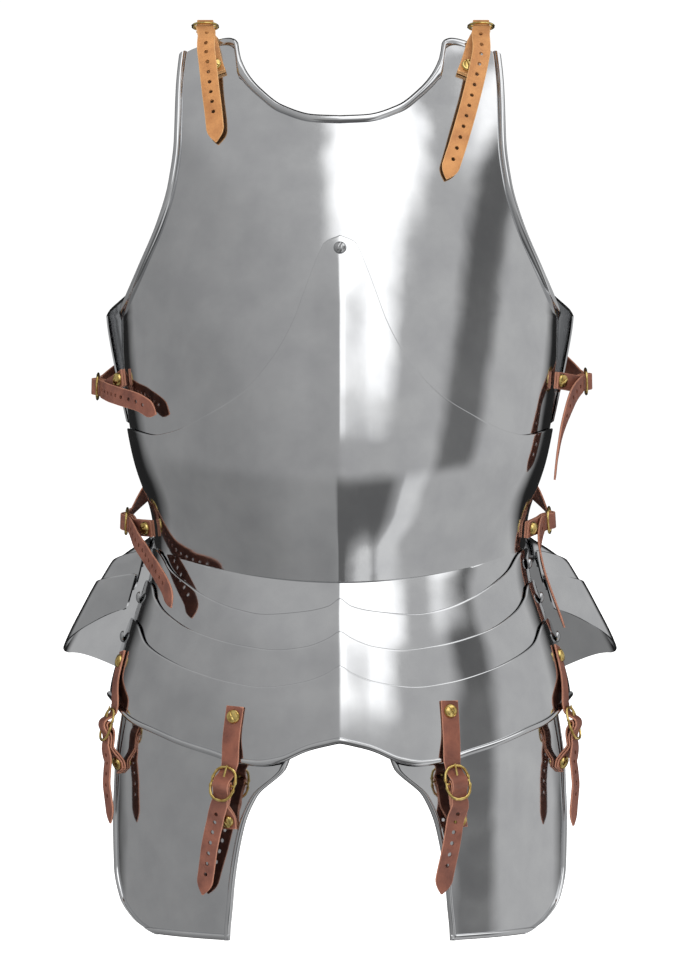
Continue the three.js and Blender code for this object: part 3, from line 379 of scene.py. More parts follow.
# Distances from an edge at which a roll's rows stand: even turns round half a circle.
def rollSteps(radius):
    return radius * (1 - np.cos(np.linspace(0, math.pi, 13)))


# The rise of a turned edge: half a circle on the outer face, by the distance from the edge.
def turnedEdge(distance, radius):
    return np.sqrt(np.maximum(0, radius ** 2 - (distance - radius) ** 2))


# A filed edge: the outer corner eased away over the first millimetre.
def filedEdge(distance):
    return -0.45 * np.clip(1 - distance / 0.9, 0, 1) ** 2


# Heights of a plate's rows: each pair of guides is filled with its own number of even steps.
def rowHeights(guides, counts):
    parts = [guides[0][None]]
    for upper, lower, count in zip(guides[:-1], guides[1:], counts):
        t = (np.arange(1, count + 1) / count)[:, None]
        parts.append(upper + (lower - upper) * t)
    return np.concatenate(parts)


# Columns as a share of the way across the field, and edge columns at fixed distances from the side edge.
def columnsWith(fieldCount, steps):
    field = np.linspace(-1, 1, fieldCount)
    inset = np.concatenate([steps[:-1], np.full(fieldCount, steps[-1]), steps[:-1][::-1]])
    share = np.concatenate([np.full(len(steps) - 1, -1), field, np.full(len(steps) - 1, 1)])
    return share, inset


# A plate between the surface lifted to its outer face and the same grid one wall below its layer.
def makePlate(node, surface, angle, z, layer, rise, body):
    outer, _ = lifted(surface, angle, z, layer + rise)
    inner, _ = lifted(surface, angle, z, np.full(z.shape, layer - sheet["wall"]))
    points = np.concatenate([outer.reshape(-1, 3), inner.reshape(-1, 3)])
    return makePiece(f"{node}_sheet", points, plateFaces(*z.shape), steelMirror, body, "steel", (node,))


# The height of an edge at a distance across.
def edgeAt(table, across):
    return throughPoints(table["across"], table["height"], across)


neckline = {"across": [0, 20, 44, 61, 71, 78, 84, 92, 118, 128],
            "height": [-73, -72, -64, -50, -38, -25, -9, -6.5, -15, -21]}
backNeckline = {"across": [0, 24, 50, 68, 79, 87, 95, 123],
                "height": [-67, -66, -58, -45, -30, -12, -8, -21]}


# The angle of an armhole edge, or of the plain side edge below it.
def sideAngle(armhole, half, side, z):
    opening = np.arcsin(np.clip(faired(armhole, "across", z, 3) / half, -1, 1))
    return np.where(z <= armhole["z"][-1], side, np.minimum(side, opening))


# Breast or back: rows start at the neck edge, the armhole edge bends every column, both edges turned.
def torsoPlate(name, surface, edge, armhole, half, side, bottom, fieldRows, spec):
    share, inset = columnsWith(spec["columns"], rollSteps(spec["armRoll"]))
    atTop = sideAngle(armhole, half, side, np.float64(spec["shoulder"]))
    across = half * np.sin(np.abs(share) * (atTop - inset / half))
    slope = (edgeAt(edge, across + 2) - edgeAt(edge, np.abs(across - 2))) / 4
    slope = np.where(across < 2, 0, slope)
    top = edgeAt(edge, across)
    stretch = np.sqrt(1 + np.minimum(slope, 3) ** 2)
    steps = rollSteps(spec["neckRoll"])
    start = top - steps[-1] * stretch
    field = rowHeights([start, bottom(share)], [fieldRows])
    z = np.concatenate([top - steps[:-1, None] * stretch, field])
    span = sideAngle(armhole, half, side, z)
    angle = share * (span - inset / half)
    fromNeck = (top - z) / stretch
    neckFade = 1 - ramp(*spec["neckFade"], across)
    armFade = ramp(armhole["z"][-1] - 1, armhole["z"][-1] + 6, z)
    neck = turnedEdge(fromNeck, spec["neckRoll"]) * neckFade
    arm = turnedEdge(np.broadcast_to(inset, z.shape), spec["armRoll"]) * armFade
    arm = np.where(inset >= inset.max(), 0, arm)
    return makePlate(name, surface, angle, z, 0, np.maximum(neck, arm), "cuirass")


plateSides = {"front": math.radians(86), "back": math.radians(89), "lame": math.radians(83),
              "culet": math.radians(88)}
torsoSpec = {"columns": 111, "armRoll": 4.0, "neckRoll": 3.0, "neckFade": (82, 112), "shoulder": -30,
             "breastFoot": -350.0, "backFoot": -322, "backFootRise": 13}
torsoPlate("breast_upper", breastSurface, neckline, frontArmhole, max(chest["half"]), plateSides["front"],
           lambda u: np.full(u.shape, torsoSpec["breastFoot"]), 100, torsoSpec)
torsoPlate("back_upper", backSurface, backNeckline, backArmhole, max(backBody["half"]), plateSides["back"],
           lambda u: torsoSpec["backFoot"] + torsoSpec["backFootRise"] * u * u, 90, torsoSpec)


# How far a rounded corner draws an edge in, by the distance from the end of that edge.
def cornerInset(distance, radius):
    d = np.clip(distance, 0, radius)
    return radius - np.sqrt(radius ** 2 - (radius - d) ** 2)


plackartTop = {"across": [0, 11, 18, 25, 35, 48, 73, 99, 132, 146, 168],
               "height": [-169, -174, -189, -208, -236, -260, -289, -305, -319, -321, -315]}
flangeBottom = {"across": [0, 30, 55, 100, 130, 150], "height": [-463, -472, -475, -463, -446, -434]}
plackartSpec = {"topHalf": 170, "footHalf": 152, "corner": 10, "cornerFoot": -434}


# The height of the waist crease, which rises toward the sides.
def creaseHeight(angle):
    return frontCrease["z"] + frontCrease["rise"] * np.sin(angle) ** 2


# The plackart runs from its pointed top edge over the crease to the flange, its columns closer together
# near the middle.
def plackart():
    front, lame = plateSides["front"], plateSides["lame"]
    share = np.linspace(-1, 1, 141)
    share = np.sign(share) * np.abs(share) ** 1.15
    top = edgeAt(plackartTop, plackartSpec["topHalf"] * np.sin(np.abs(share) * front))
    crease = creaseHeight(share * lame)
    bottom = edgeAt(flangeBottom, plackartSpec["footHalf"] * np.sin(np.abs(share) * lame))
    guides = [top, top - 0.9, top - 3, crease + 12, crease, crease - 6, bottom]
    z = rowHeights(guides, [4, 3, 66, 12, 6, 10])
    side = front + (lame - front) * ramp(-385, -405, z)
    inset = cornerInset(z - plackartSpec["cornerFoot"], plackartSpec["corner"]) / 150
    angle = share * (side - inset * ramp(0.8, 1, np.abs(share)))
    makePlate("plackart", frontSurface, angle, z, sheet["lap"], filedEdge(top - z), "cuirass")


plackart()

fauldEdges = [
    {"across": [0, 8, 25, 55, 75, 100, 120, 134, 144, 150],
     "height": [-448, -454, -458, -460.5, -457, -448, -437, -427, -415, -410.5]},
    {"across": [0, 8, 24, 45, 70, 106, 132, 146, 152, 157],
     "height": [-473.5, -479, -485, -487.5, -484.5, -475, -462, -450, -441, -437.5]},
    {"across": [0, 8, 26, 54, 80, 103, 124, 148, 160, 168],
     "height": [-499.5, -505, -511.5, -515.5, -512, -506, -498.5, -486, -473, -468]},
]
fauldHem = {"across": [0, 24, 45, 60, 78, 95, 118, 140, 158, 180],
            "height": [-556.5, -562.5, -571.5, -574, -572, -567, -560.5, -552.5, -546, -531]}
underLap = {"across": [0, 100, 130, 160], "height": [14, 15, 20, 24]}
lameHalf = [152, 159, 169, 183]


# A lame hangs between two edge curves, with its ends rounded; the last one's hem is turned.
def fauldLame(number):
    last = number == 3
    side = plateSides["lame"]
    share = np.linspace(-1, 1, 161)
    share = np.sign(share) * np.abs(share) ** 1.1
    upperAcross = lameHalf[number - 1] * np.sin(np.abs(share) * side)
    lowerAcross = lameHalf[number] * np.sin(np.abs(share) * side)
    top = edgeAt(fauldEdges[number - 1], upperAcross)
    if last:
        bottom = edgeAt(fauldHem, lowerAcross)
    else:
        bottom = edgeAt(fauldEdges[number], lowerAcross) - edgeAt(underLap, lowerAcross)
    hem = rollSteps(2.4)[::-1]
    guides = [top, top - 0.9, top - 10, bottom + (hem[0] if last else 10), bottom]
    z = rowHeights(guides[:4], [4, 12, 34 if last else 20])
    if last:
        z = np.concatenate([z, bottom + hem[1:, None]])
    else:
        z = np.concatenate([z, rowHeights(guides[3:], [12])[1:]])
    inset = cornerInset(top - z, 10) + cornerInset(z - bottom, 16 if last else 10)
    angle = share * (side - inset / 160 * ramp(0.7, 1, np.abs(share)))
    rise = filedEdge(top - z) + (turnedEdge(z - bottom, 2.4) if last else 0)
    makePlate(f"fauld_lame_{number}", frontSurface, angle, z, (number + 1) * sheet["lap"], rise,
              f"fauld_{number}")


for number in (1, 2, 3):
    fauldLame(number)

tassetHang = {"layer": 4 * sheet["lap"] - sheet["wall"] - 4.8, "foot": -706.0, "hem": 2.4}


# A tasset: its outline at each height gives the two side edges, turned like its foot.
def tasset(word, side):
    steps = rollSteps(tassetHang["hem"])
    reach = tassetSurface(np.float64(math.pi / 2), np.float64(-620.0))[0] + tassetHang["layer"]
    share, inset = columnsWith(61, steps)
    t = (share + 1) / 2
    top = edgeAt(fauldHem, 40 + 130 * t) + 14
    foot = tassetHang["foot"]
    z = rowHeights([top, np.full(t.shape, foot + steps[-1])], [80])
    z = np.concatenate([z, foot + np.repeat(steps[:-1][::-1, None], len(t), 1)])
    outer = np.arcsin(throughPoints(tassetOutline["z"], tassetOutline["outer"], z) / reach) * reach
    inner = np.arcsin(throughPoints(tassetOutline["z"], tassetOutline["inner"], z) / reach) * reach
    field = inner + steps[-1] + (outer - inner - 2 * steps[-1]) * t
    along = np.where(share == -1, inner + inset, np.where(share == 1, outer - inset, field))
    rise = np.maximum(turnedEdge(np.broadcast_to(inset, z.shape), tassetHang["hem"]),
                      turnedEdge(z - foot, tassetHang["hem"]))
    rise = rise * ramp(6, 12, top - z)
    rise = np.where((inset >= steps[-1]) & (z > foot + steps[-1]), 0, rise)
    angle = side * along / reach
    makePlate(f"tasset_{word}", tassetSurface, angle, z, tassetHang["layer"], rise, "fauld_3")


tasset("left", 1)
tasset("right", -1)


lowerBackSpec = {"top": -285, "body": -375, "foot": -416}


# The waist of the back: from under the upper back, over the crease.
def lowerBack():
    share = np.linspace(-1, 1, 121)
    flat = np.full(share.shape, 1.0)
    guides = (lowerBackSpec["top"], lowerBackSpec["body"], backCrease["z"], lowerBackSpec["foot"])
    z = rowHeights([height * flat for height in guides], [24, 14, 14])
    makePlate("back_lower", backSurface, share * plateSides["culet"], z, -sheet["lap"], np.zeros(z.shape),
              "cuirass")


lowerBack()
culetEdges = {"back": [-402, -434, -470, -548], "wing": [-402, -424, -442, -499],
              "end": [-401, -413, -432, -461]}


# An edge height that goes from the middle of the back to the wing, and on to the wing's end.
def culetEdge(number, share):
    fromSide = (1 - np.abs(share)) * plateSides["culet"]
    towardEnd = 1 - ramp(0, math.radians(30), fromSide)
    towardBack = ramp(math.radians(30), plateSides["culet"], fromSide)
    back, wing, end = (culetEdges[key][number] for key in ("back", "wing", "end"))
    return wing + (end - wing) * towardEnd + (back - wing) * towardBack


# A culet lame between two of those edges, its corners rounded; all but the last run on under the next.
def culetLame(number):
    last = number == 3
    share = np.linspace(-1, 1, 181)
    top = culetEdge(number - 1, share)
    bottom = culetEdge(number, share) - (0 if last else 13)
    z = rowHeights([top, top - 0.9, top - 6, bottom + 5, bottom], [4, 8, 26, 10])
    inset = cornerInset(top - z, 6) + cornerInset(z - bottom, 8)
    angle = share * (plateSides["culet"] - inset / 160 * ramp(0.7, 1, np.abs(share)))
    makePlate(f"culet_lame_{number}", backSurface, angle, z, (number - 1) * sheet["lap"],
              filedEdge(top - z), "cuirass")


for number in (1, 2, 3):
    culetLame(number)
print("plates done")


# A centripetal Catmull-Rom curve: on each stretch a cubic whose end slopes weigh the chords by the square
# root of their lengths. Returns the points at even steps of the stretch number.
def smoothPath(points, steps):
    points = np.asarray(points, float)
    ends = np.concatenate([[2 * points[0] - points[1]], points, [2 * points[-1] - points[-2]]])
    a, b, c, d = ends[:-3], ends[1:-2], ends[2:-1], ends[3:]
    gaps = [np.sqrt(np.linalg.norm(q - p, axis=-1, keepdims=True)) for p, q in ((a, b), (b, c), (c, d))]
    middle = np.where(gaps[1] < 1e-4, 1, gaps[1])
    before = np.where(gaps[0] < 1e-4, middle, gaps[0])
    after = np.where(gaps[2] < 1e-4, middle, gaps[2])
    into = ((b - a) / before - (c - a) / (before + middle) + (c - b) / middle) * middle
    outof = ((c - b) / middle - (d - b) / (middle + after) + (d - c) / after) * middle
    t = (np.arange(steps) / steps)[None, :, None]
    b, c, into, outof = (v[:, None] for v in (b, c, into, outof))
    curve = (b + into * t + (-3 * b + 3 * c - 2 * into - outof) * t ** 2
             + (2 * b - 2 * c + into + outof) * t ** 3)
    return np.concatenate([curve.reshape(-1, points.shape[1]), points[-1:]])


# A route under a buckle: places before it, a dead straight stretch, places after it. Distance along it is
# counted from the buckle's bar, toward the riveted end.
class Route:
    def __init__(self, before, seat, after):
        stations = (17, 14, 7, 0, -7, -14, -17)
        straight = [(seat["point"] + seat["along"] * d, seat["normal"]) for d in stations]
        places = list(before) + straight + list(after)
        steps = 60
        self.points = smoothPath([p for p, _ in places], steps)
        self.normals = smoothPath([n for _, n in places], steps)
        length = np.concatenate([[0], np.cumsum(np.linalg.norm(np.diff(self.points, axis=0), axis=1))])
        self.distance = length[steps * (len(before) + 3)] - length
        self.start, self.end = self.distance[0], self.distance[-1]

    # Point, direction, normal and sideways direction at each distance, running straight on past the ends.
    def framesAt(self, distance):
        distance = np.asarray(distance, float)
        held = np.clip(distance, self.end, self.start)
        take = lambda rows, at: np.stack([np.interp(-at, -self.distance, rows[:, k]) for k in range(3)], -1)
        point = take(self.points, held)
        step = 0.6
        high, low = np.minimum(held + step, self.start), np.maximum(held - step, self.end)
        along = unit(take(self.points, high) - take(self.points, low))
        point = point + along * (distance - held)[..., None]
        normal = take(self.normals, held)
        normal = unit(normal - along * (normal * along).sum(-1, keepdims=True))
        return point, along, normal, np.cross(along, normal)


strapSpec = {"width": 14.4, "leather": 1.6, "air": 0.4, "tip": 12.0, "hole": 1.7, "firstHole": 22,
             "holeFromTip": 16, "endRivet": 8.0}
ring = {"length": 27, "width": 21.4, "rim": 2.2, "bar": 1, "low": 3.4, "high": 8.6}
rosette = {"radius": 5.4, "height": 2.8, "slot": 0.6, "rim": 0.35, "lift": 0.4}
strapRivet = {"radius": 4.0, "height": 2.2}


# Leather along a path of distances and heights: a flat section with rounded edges carried along the route.
# The section runs over the top, round one edge, back underneath and round the other. A hole leaves out the
# four faces round its centre, top and bottom, draws their corners onto a circle and walls the gap.
def leatherStrip(name, route, path, widthAt, holes, material, body, slot, replaced):
    fine = smoothPath(path, 8)
    run = np.concatenate([[0], np.cumsum(np.linalg.norm(np.diff(fine, axis=0), axis=1))])
    at = np.linspace(0, run[-1], int(run[-1] / 1.5) + 2)
    radius, thick = strapSpec["hole"], strapSpec["leather"] / 2
    middles = [np.interp(-hole, -fine[:, 0], run) for hole in holes]
    for middle in middles:
        at = at[np.abs(at - middle) > 1.6 * radius]
        at = np.sort(np.concatenate([at, [middle - radius, middle, middle + radius]]))
    half = (widthAt(np.interp(at, run, fine[:, 0])) / 2)[:, None]
    inner = half - 0.8 * thick
    bend = np.radians([60, 30, 0, -30, -60])[None]
    ones = np.ones(half.shape)
    hole = radius * ones
    top = np.concatenate([-inner, -0.6 * inner, -hole, 0 * hole, hole, 0.6 * inner, inner], 1)
    top[:, 2], top[:, 4] = np.maximum(top[:, 2], 0.5 * top[:, 1]), np.minimum(top[:, 4], 0.5 * top[:, 5])
    edge = inner + 0.8 * thick * np.cos(bend)
    across = np.concatenate([top, edge, top[:, ::-1], -edge[:, ::-1]], 1)
    face = np.full(top.shape, thick)
    turn = np.repeat(thick * np.sin(bend), len(at), 0)
    height = np.concatenate([face, turn, -face, turn[:, ::-1]], 1)
    count = across.shape[1]
    place = np.repeat(at[:, None], count, 1)
    numbers = np.arange(len(at) * count).reshape(len(at), count)
    keep = np.ones((len(at) - 1, count), bool)
    draw = radius * (1 - math.sqrt(0.5))
    walls = []
    for middle in middles:
        r = int(np.argmin(np.abs(at - middle)))
        for column in (2, 3, 14, 15):
            keep[r - 1:r + 1, column] = False
        for column in (2, 4, 14, 16):
            place[r - 1, column] += draw
            place[r + 1, column] -= draw
            across[[r - 1, r + 1], column] *= math.sqrt(0.5)
        turnOf = [(-1, 2), (-1, 3), (-1, 4), (0, 4), (1, 4), (1, 3), (1, 2), (0, 2)]
        above = np.array([numbers[r + step, column] for step, column in turnOf])
        under = np.array([numbers[r + step, 18 - column] for step, column in turnOf])
        walls.append(np.stack([np.roll(above, -1), above, under, np.roll(under, -1)], 1))
    centre = np.stack([np.interp(place, run, fine[:, k]) for k in (0, 1)], -1)
    ahead = np.stack([np.interp(place + 0.4, run, fine[:, k]) for k in (0, 1)], -1)
    behind = np.stack([np.interp(place - 0.4, run, fine[:, k]) for k in (0, 1)], -1)
    way = unit(ahead - behind)
    spot = centre + np.stack([-way[..., 1], way[..., 0]], -1) * height[..., None]
    point, _, normal, sideways = route.framesAt(spot[..., 0])
    points = point + normal * spot[..., 1:] + sideways * across[..., None]
    wrapped = np.concatenate([numbers, numbers[:, :1]], 1)
    quads = np.stack([wrapped[:-1, :-1], wrapped[1:, :-1], wrapped[1:, 1:], wrapped[:-1, 1:]], -1)[keep]
    rim = np.abs(across) / half
    rim[:1], rim[-1:] = 1, 1
    return makePiece(name, points, np.concatenate([quads, *walls, capQuads(numbers[0]),
                                                   capQuads(numbers[-1])[:, ::-1]]),
                     material, body, slot, replaced, attributes={"rim": rim})


# Closes a section's end: quads between the top line and the underside, then over the rounded edges.
def capQuads(loop):
    flat = [[k, k + 1, 17 - k, 18 - k] for k in range(6)]
    edges = [[6, 7, 11, 12], [7, 8, 10, 11], [8, 9, 10, 10],
             [18, 19, 23, 0], [19, 20, 22, 23], [20, 21, 22, 22]]
    return loop[np.array(flat + edges)]


# Triangles from each side of a ring to one middle point, which is named twice.
def fanFaces(loop, middle):
    middles = np.full(len(loop), middle)
    return np.stack([loop, np.roll(loop, -1), middles, middles], 1)


# A tube round a line of points, its two radii given for each point; closed into a ring or capped.
def tube(points, wide, high, up, closed=False, sides=12):
    points = np.asarray(points, float)
    if closed:
        way = unit(np.roll(points, -1, 0) - np.roll(points, 1, 0))
    else:
        way = unit(np.gradient(points, axis=0))
    across = unit(np.cross(np.broadcast_to(up, points.shape), way))
    rise = np.cross(way, across)
    turn = np.arange(sides) / sides * 2 * math.pi
    wide, high = (np.broadcast_to(v, len(points))[:, None, None] for v in (wide, high))
    skin = (points[:, None] + across[:, None] * wide * np.cos(turn)[None, :, None]
            + rise[:, None] * high * np.sin(turn)[None, :, None])
    numbers = np.arange(len(points) * sides).reshape(len(points), sides)
    lines = np.concatenate([numbers, numbers[:1]], 0) if closed else numbers
    faces = [gridQuads(lines, wrap=True)]
    skin = skin.reshape(-1, 3)
    if not closed:
        first, last = len(skin), len(skin) + 1
        skin = np.concatenate([skin, points[:1], points[-1:]])
        faces += [fanFaces(numbers[0], first), fanFaces(numbers[-1][::-1], last)]
    return turnedOut(skin, np.concatenate(faces))


# The faces turned round if they face inwards.
def turnedOut(points, faces):
    return (points, faces[:, ::-1]) if enclosedVolume(points, faces) < 0 else (points, faces)


# Several shapes as one, their faces renumbered.
def joined(shapes):
    starts = np.cumsum([0] + [len(points) for points, _ in shapes])
    return (np.concatenate([points for points, _ in shapes]),
            np.concatenate([faces + start for (_, faces), start in zip(shapes, starts)]))


# A dome turned about its axis, on a short skirt: heights on rings of a disc, with an optional slot.
def dome(radius, height, slot=None, skirt=0.5, rim=0.0):
    rings, sides = 12, 40
    r = np.sin(np.linspace(0.06, math.pi / 2, rings))[:, None] * radius
    turn = (np.arange(sides) / sides * 2 * math.pi)[None]
    x, y = r * np.cos(turn), r * np.sin(turn)
    z = height * np.sqrt(np.maximum(0, 1 - (r / radius) ** 2)) + 0 * turn
    z = z + rim * np.exp(-((r / radius - 0.86) / 0.06) ** 2)
    if slot is not None:
        z = z - 0.55 * np.exp(-((x * math.sin(slot) - y * math.cos(slot)) / 0.45) ** 2) * (r < 0.8 * radius)
    skin = np.stack([x, y, z], -1)
    foot = skin[-1:] * [1, 1, 0] - [0, 0, skirt]
    skin = np.concatenate([skin, foot]).reshape(-1, 3)
    numbers = np.arange((rings + 1) * sides).reshape(rings + 1, sides)
    top, bottom = len(skin), len(skin) + 1
    skin = np.concatenate([skin, [[0, 0, height], [0, 0, -skirt]]])
    caps = [fanFaces(numbers[0], top), fanFaces(numbers[-1][::-1], bottom)]
    return turnedOut(skin, np.concatenate([gridQuads(numbers, wrap=True), *caps]))


# Turns a shape made round the Z axis to stand at a place with given X, Y and Z directions.
def standing(shape, place, x, y, z):
    points, faces = shape
    return points @ np.stack([x, y, z]) + place, faces


# The ring's centre line is a rounded rectangle, thicker where the bar meets it, its edge lightly lobed.
def buckleShape():
    turn = np.arange(96) / 96 * 2 * math.pi
    reach = lambda value: np.sign(value) * np.abs(value) ** (2 / 2.5)
    x = (ring["length"] - ring["rim"]) / 2 * reach(np.cos(turn))
    y = (ring["width"] - ring["rim"]) / 2 * reach(np.sin(turn))
    middle = (ring["high"] + ring["low"]) / 2
    slope = (ring["high"] - ring["low"]) / (ring["length"] - ring["rim"])
    fromBar = np.abs(np.sin(turn)) > 0.995
    swell = 0.4 * np.exp(-((np.abs(np.cos(turn)) - 0.16) / 0.05) ** 2) - 0.25 * fromBar
    wide = 1.15 + swell + 0.1 * np.cos(14 * turn)
    rim = tube(np.stack([x, y, middle - slope * x], -1), wide, 0.95 + 0.6 * swell, [0, 0, 1], closed=True)
    ends = (ring["width"] - ring["rim"]) / 2
    bar = tube([[0, -ends, middle], [0, 0, middle], [0, ends, middle]], ring["bar"], ring["bar"], [0, 0, 1])
    reachOut = np.linspace(-1.4, ring["length"] / 2 + 0.9, 16)
    arch = middle + 1.0 + 0.5 * np.sin(np.linspace(0, math.pi, 16)) - np.linspace(0, 1.6, 16)
    pin = tube(np.stack([reachOut, 0 * reachOut, arch], -1), np.linspace(1.15, 0.6, 16),
               np.linspace(0.8, 0.5, 16), [0, 0, 1])
    return joined([rim, bar, pin])


# The chape lies on the plate, folds round the bar and comes back over itself.
def chapePath(length):
    lower = strapSpec["air"] + strapSpec["leather"] / 2
    upper = lower + strapSpec["leather"] + strapSpec["air"]
    middle = (ring["high"] + ring["low"]) / 2
    reach = ring["bar"] + strapSpec["air"] + strapSpec["leather"] / 2
    turn = np.radians([-120, -60, 0, 60, 120])
    fold = [[reach * math.cos(a), middle + reach * math.sin(a)] for a in turn]
    back = np.linspace(-14, -length, 5)
    return ([[d, lower] for d in back[::-1]] + [[-8, lower], [-4, lower + 0.9]] + fold
            + [[-4, middle + 0.5], [-8, upper + 0.7], [-11, upper]] + [[d, upper] for d in back])


# The strap comes in flat, climbs over the bar, comes down on the chape and ends in its tail.
def strapPath(route, tailHeights):
    rest = strapSpec["air"] + strapSpec["leather"] / 2
    middle = (ring["high"] + ring["low"]) / 2
    top = middle + ring["bar"] + 2 * strapSpec["air"] + 1.5 * strapSpec["leather"]
    near = rest + 2 * (strapSpec["leather"] + strapSpec["air"])
    tailStart = -(ring["length"] / 2 + 3)
    steps = 10
    place = np.maximum(0, (np.arange(1, steps + 1)) / steps * len(tailHeights) - 1)
    heights = np.interp(place, np.arange(len(tailHeights)), tailHeights)
    tail = [[d, h] for d, h in zip(np.linspace(tailStart, route.end, steps + 1)[1:], heights)]
    approach = [[d, rest] for d in np.linspace(route.start, 18, 7)]
    return approach + [
        [13.5, rest], [9.6, rest + 0.4], [6.5, rest + 3.2], [3.4, top - 1.2], [1.5, top],
        [-1.5, top], [-3.6, top - 1], [-6.2, near + 2], [-9.6, near + 0.5], [-13.5, near + 0.2],
        [tailStart, near + 0.2]] + tail


# The place on a surface at a distance across: the angle is halved in on, and the point lifted.
def onPlate(surface, layer, side, across, z, lift=0.0):
    low, high = 0.0, math.pi / 2
    for _ in range(26):
        middle = (low + high) / 2
        if lifted(surface, middle, z, layer + lift)[0][0] < across:
            low = middle
        else:
            high = middle
    point, normal = lifted(surface, low, z, layer + lift)
    flip = np.array([side, 1, 1])
    return point * flip, normal * flip


# A place away from any plate, with its own normal.
def inAir(side, x, y, z, nx, ny, nz):
    return np.array([side * x, y, z], float), unit(np.array([side * nx, ny, nz], float))


lap = sheet["lap"]
on = {
    "front": lambda side, *spot: onPlate(breastSurface, 0, side, *spot),
    "plackart": lambda side, *spot: onPlate(frontSurface, lap, side, *spot),
    "lame": lambda side, *spot: onPlate(frontSurface, 4 * lap, side, *spot),
    "tasset": lambda side, *spot: onPlate(tassetSurface, tassetHang["layer"], side, *spot),
    "rear": lambda side, *spot: onPlate(backSurface, 0, side, *spot),
    "rearLower": lambda side, *spot: onPlate(backSurface, -lap, side, *spot),
    "air": inAir,
}


# Places are written as the surface's name and its numbers.
def places(side, rows):
    return [on[row[0]](side, *row[1:]) for row in rows]


# One strap with its chape, buckle and heads, mirrored for the right side.
def strapSet(name, word, spec):
    side = 1 if word == "left" else -1
    body = "fauld_3" if name.startswith("tasset") else "cuirass"
    point, normal = places(side, [spec["hinge"]])[0]
    along = np.array(spec["along"], float) * [side, 1, 1]
    along = unit(along - normal * (along @ normal))
    seat = {"point": point, "normal": normal, "along": along}
    strapRoute = Route(places(side, spec["incoming"]), seat, places(side, spec["tail"]))
    chapeRoute = Route([], seat, places(side, spec["chape"]))
    tan = name == "shoulder"
    hide, slot = (tanHide, "tan_leather") if tan else (brownHide, "brown_leather")

    def strapWidth(distance):
        left = distance - strapRoute.end
        tip = strapSpec["tip"]
        rounded = np.sin(np.clip(left / tip, 0, 1) * math.pi / 2) ** 0.8
        pointed = np.maximum(1.2, strapSpec["width"] * rounded)
        narrow = 1.4 * (1 - ramp(12, 18, np.abs(distance)))
        return np.where(left < tip, pointed, strapSpec["width"] - narrow)

    lastHole = strapRoute.end + strapSpec["holeFromTip"]
    holes = np.arange(-strapSpec["firstHole"], lastHole, -spec["pitch"])
    path = strapPath(strapRoute, spec["tailHeights"])
    leatherStrip(f"{name}_leather_{word}", strapRoute, path, strapWidth, holes, hide, body, slot,
                 (f"{name}_strap_{word}",))
    leatherStrip(f"{name}_fold_{word}", chapeRoute, chapePath(spec["rivetAt"] + 8),
                 lambda d: np.full(np.shape(d), strapSpec["width"] - 1.0), [], hide, body, slot,
                 (f"{name}_chape_{word}",))
    point, way, normal, across = (v[0] for v in chapeRoute.framesAt(np.zeros(1)))
    shape = standing(buckleShape(), point, way, -across, normal)
    makePiece(f"{name}_ring_{word}", *shape, brassCast, body, "brass", (f"{name}_buckle_{word}",))
    point, way, normal, across = (v[0] for v in chapeRoute.framesAt(np.array([-float(spec["rivetAt"])])))
    base = 2 * (strapSpec["leather"] + strapSpec["air"]) + strapSpec["air"]
    flower = dome(rosette["radius"], rosette["height"], slot=rosette["slot"], rim=rosette["rim"])
    shape = standing(flower, point + normal * (base + rosette["lift"]), way, -across, normal)
    makePiece(f"{name}_dome_{word}", *shape, brassCast, body, "brass", (f"{name}_rosette_{word}",))
    endAt = np.array([strapRoute.start - strapSpec["endRivet"]])
    point, way, normal, across = (v[0] for v in strapRoute.framesAt(endAt))
    if body == "fauld_3":
        head, metal, metalSlot = flower, brassCast, "brass"
    else:
        head, metal, metalSlot = dome(strapRivet["radius"], strapRivet["height"]), steelRivet, "steel"
    lift = strapSpec["leather"] + strapSpec["air"] + rosette["lift"]
    shape = standing(head, point + normal * lift, way, -across, normal)
    makePiece(f"{name}_end_{word}", *shape, metal, body, metalSlot)


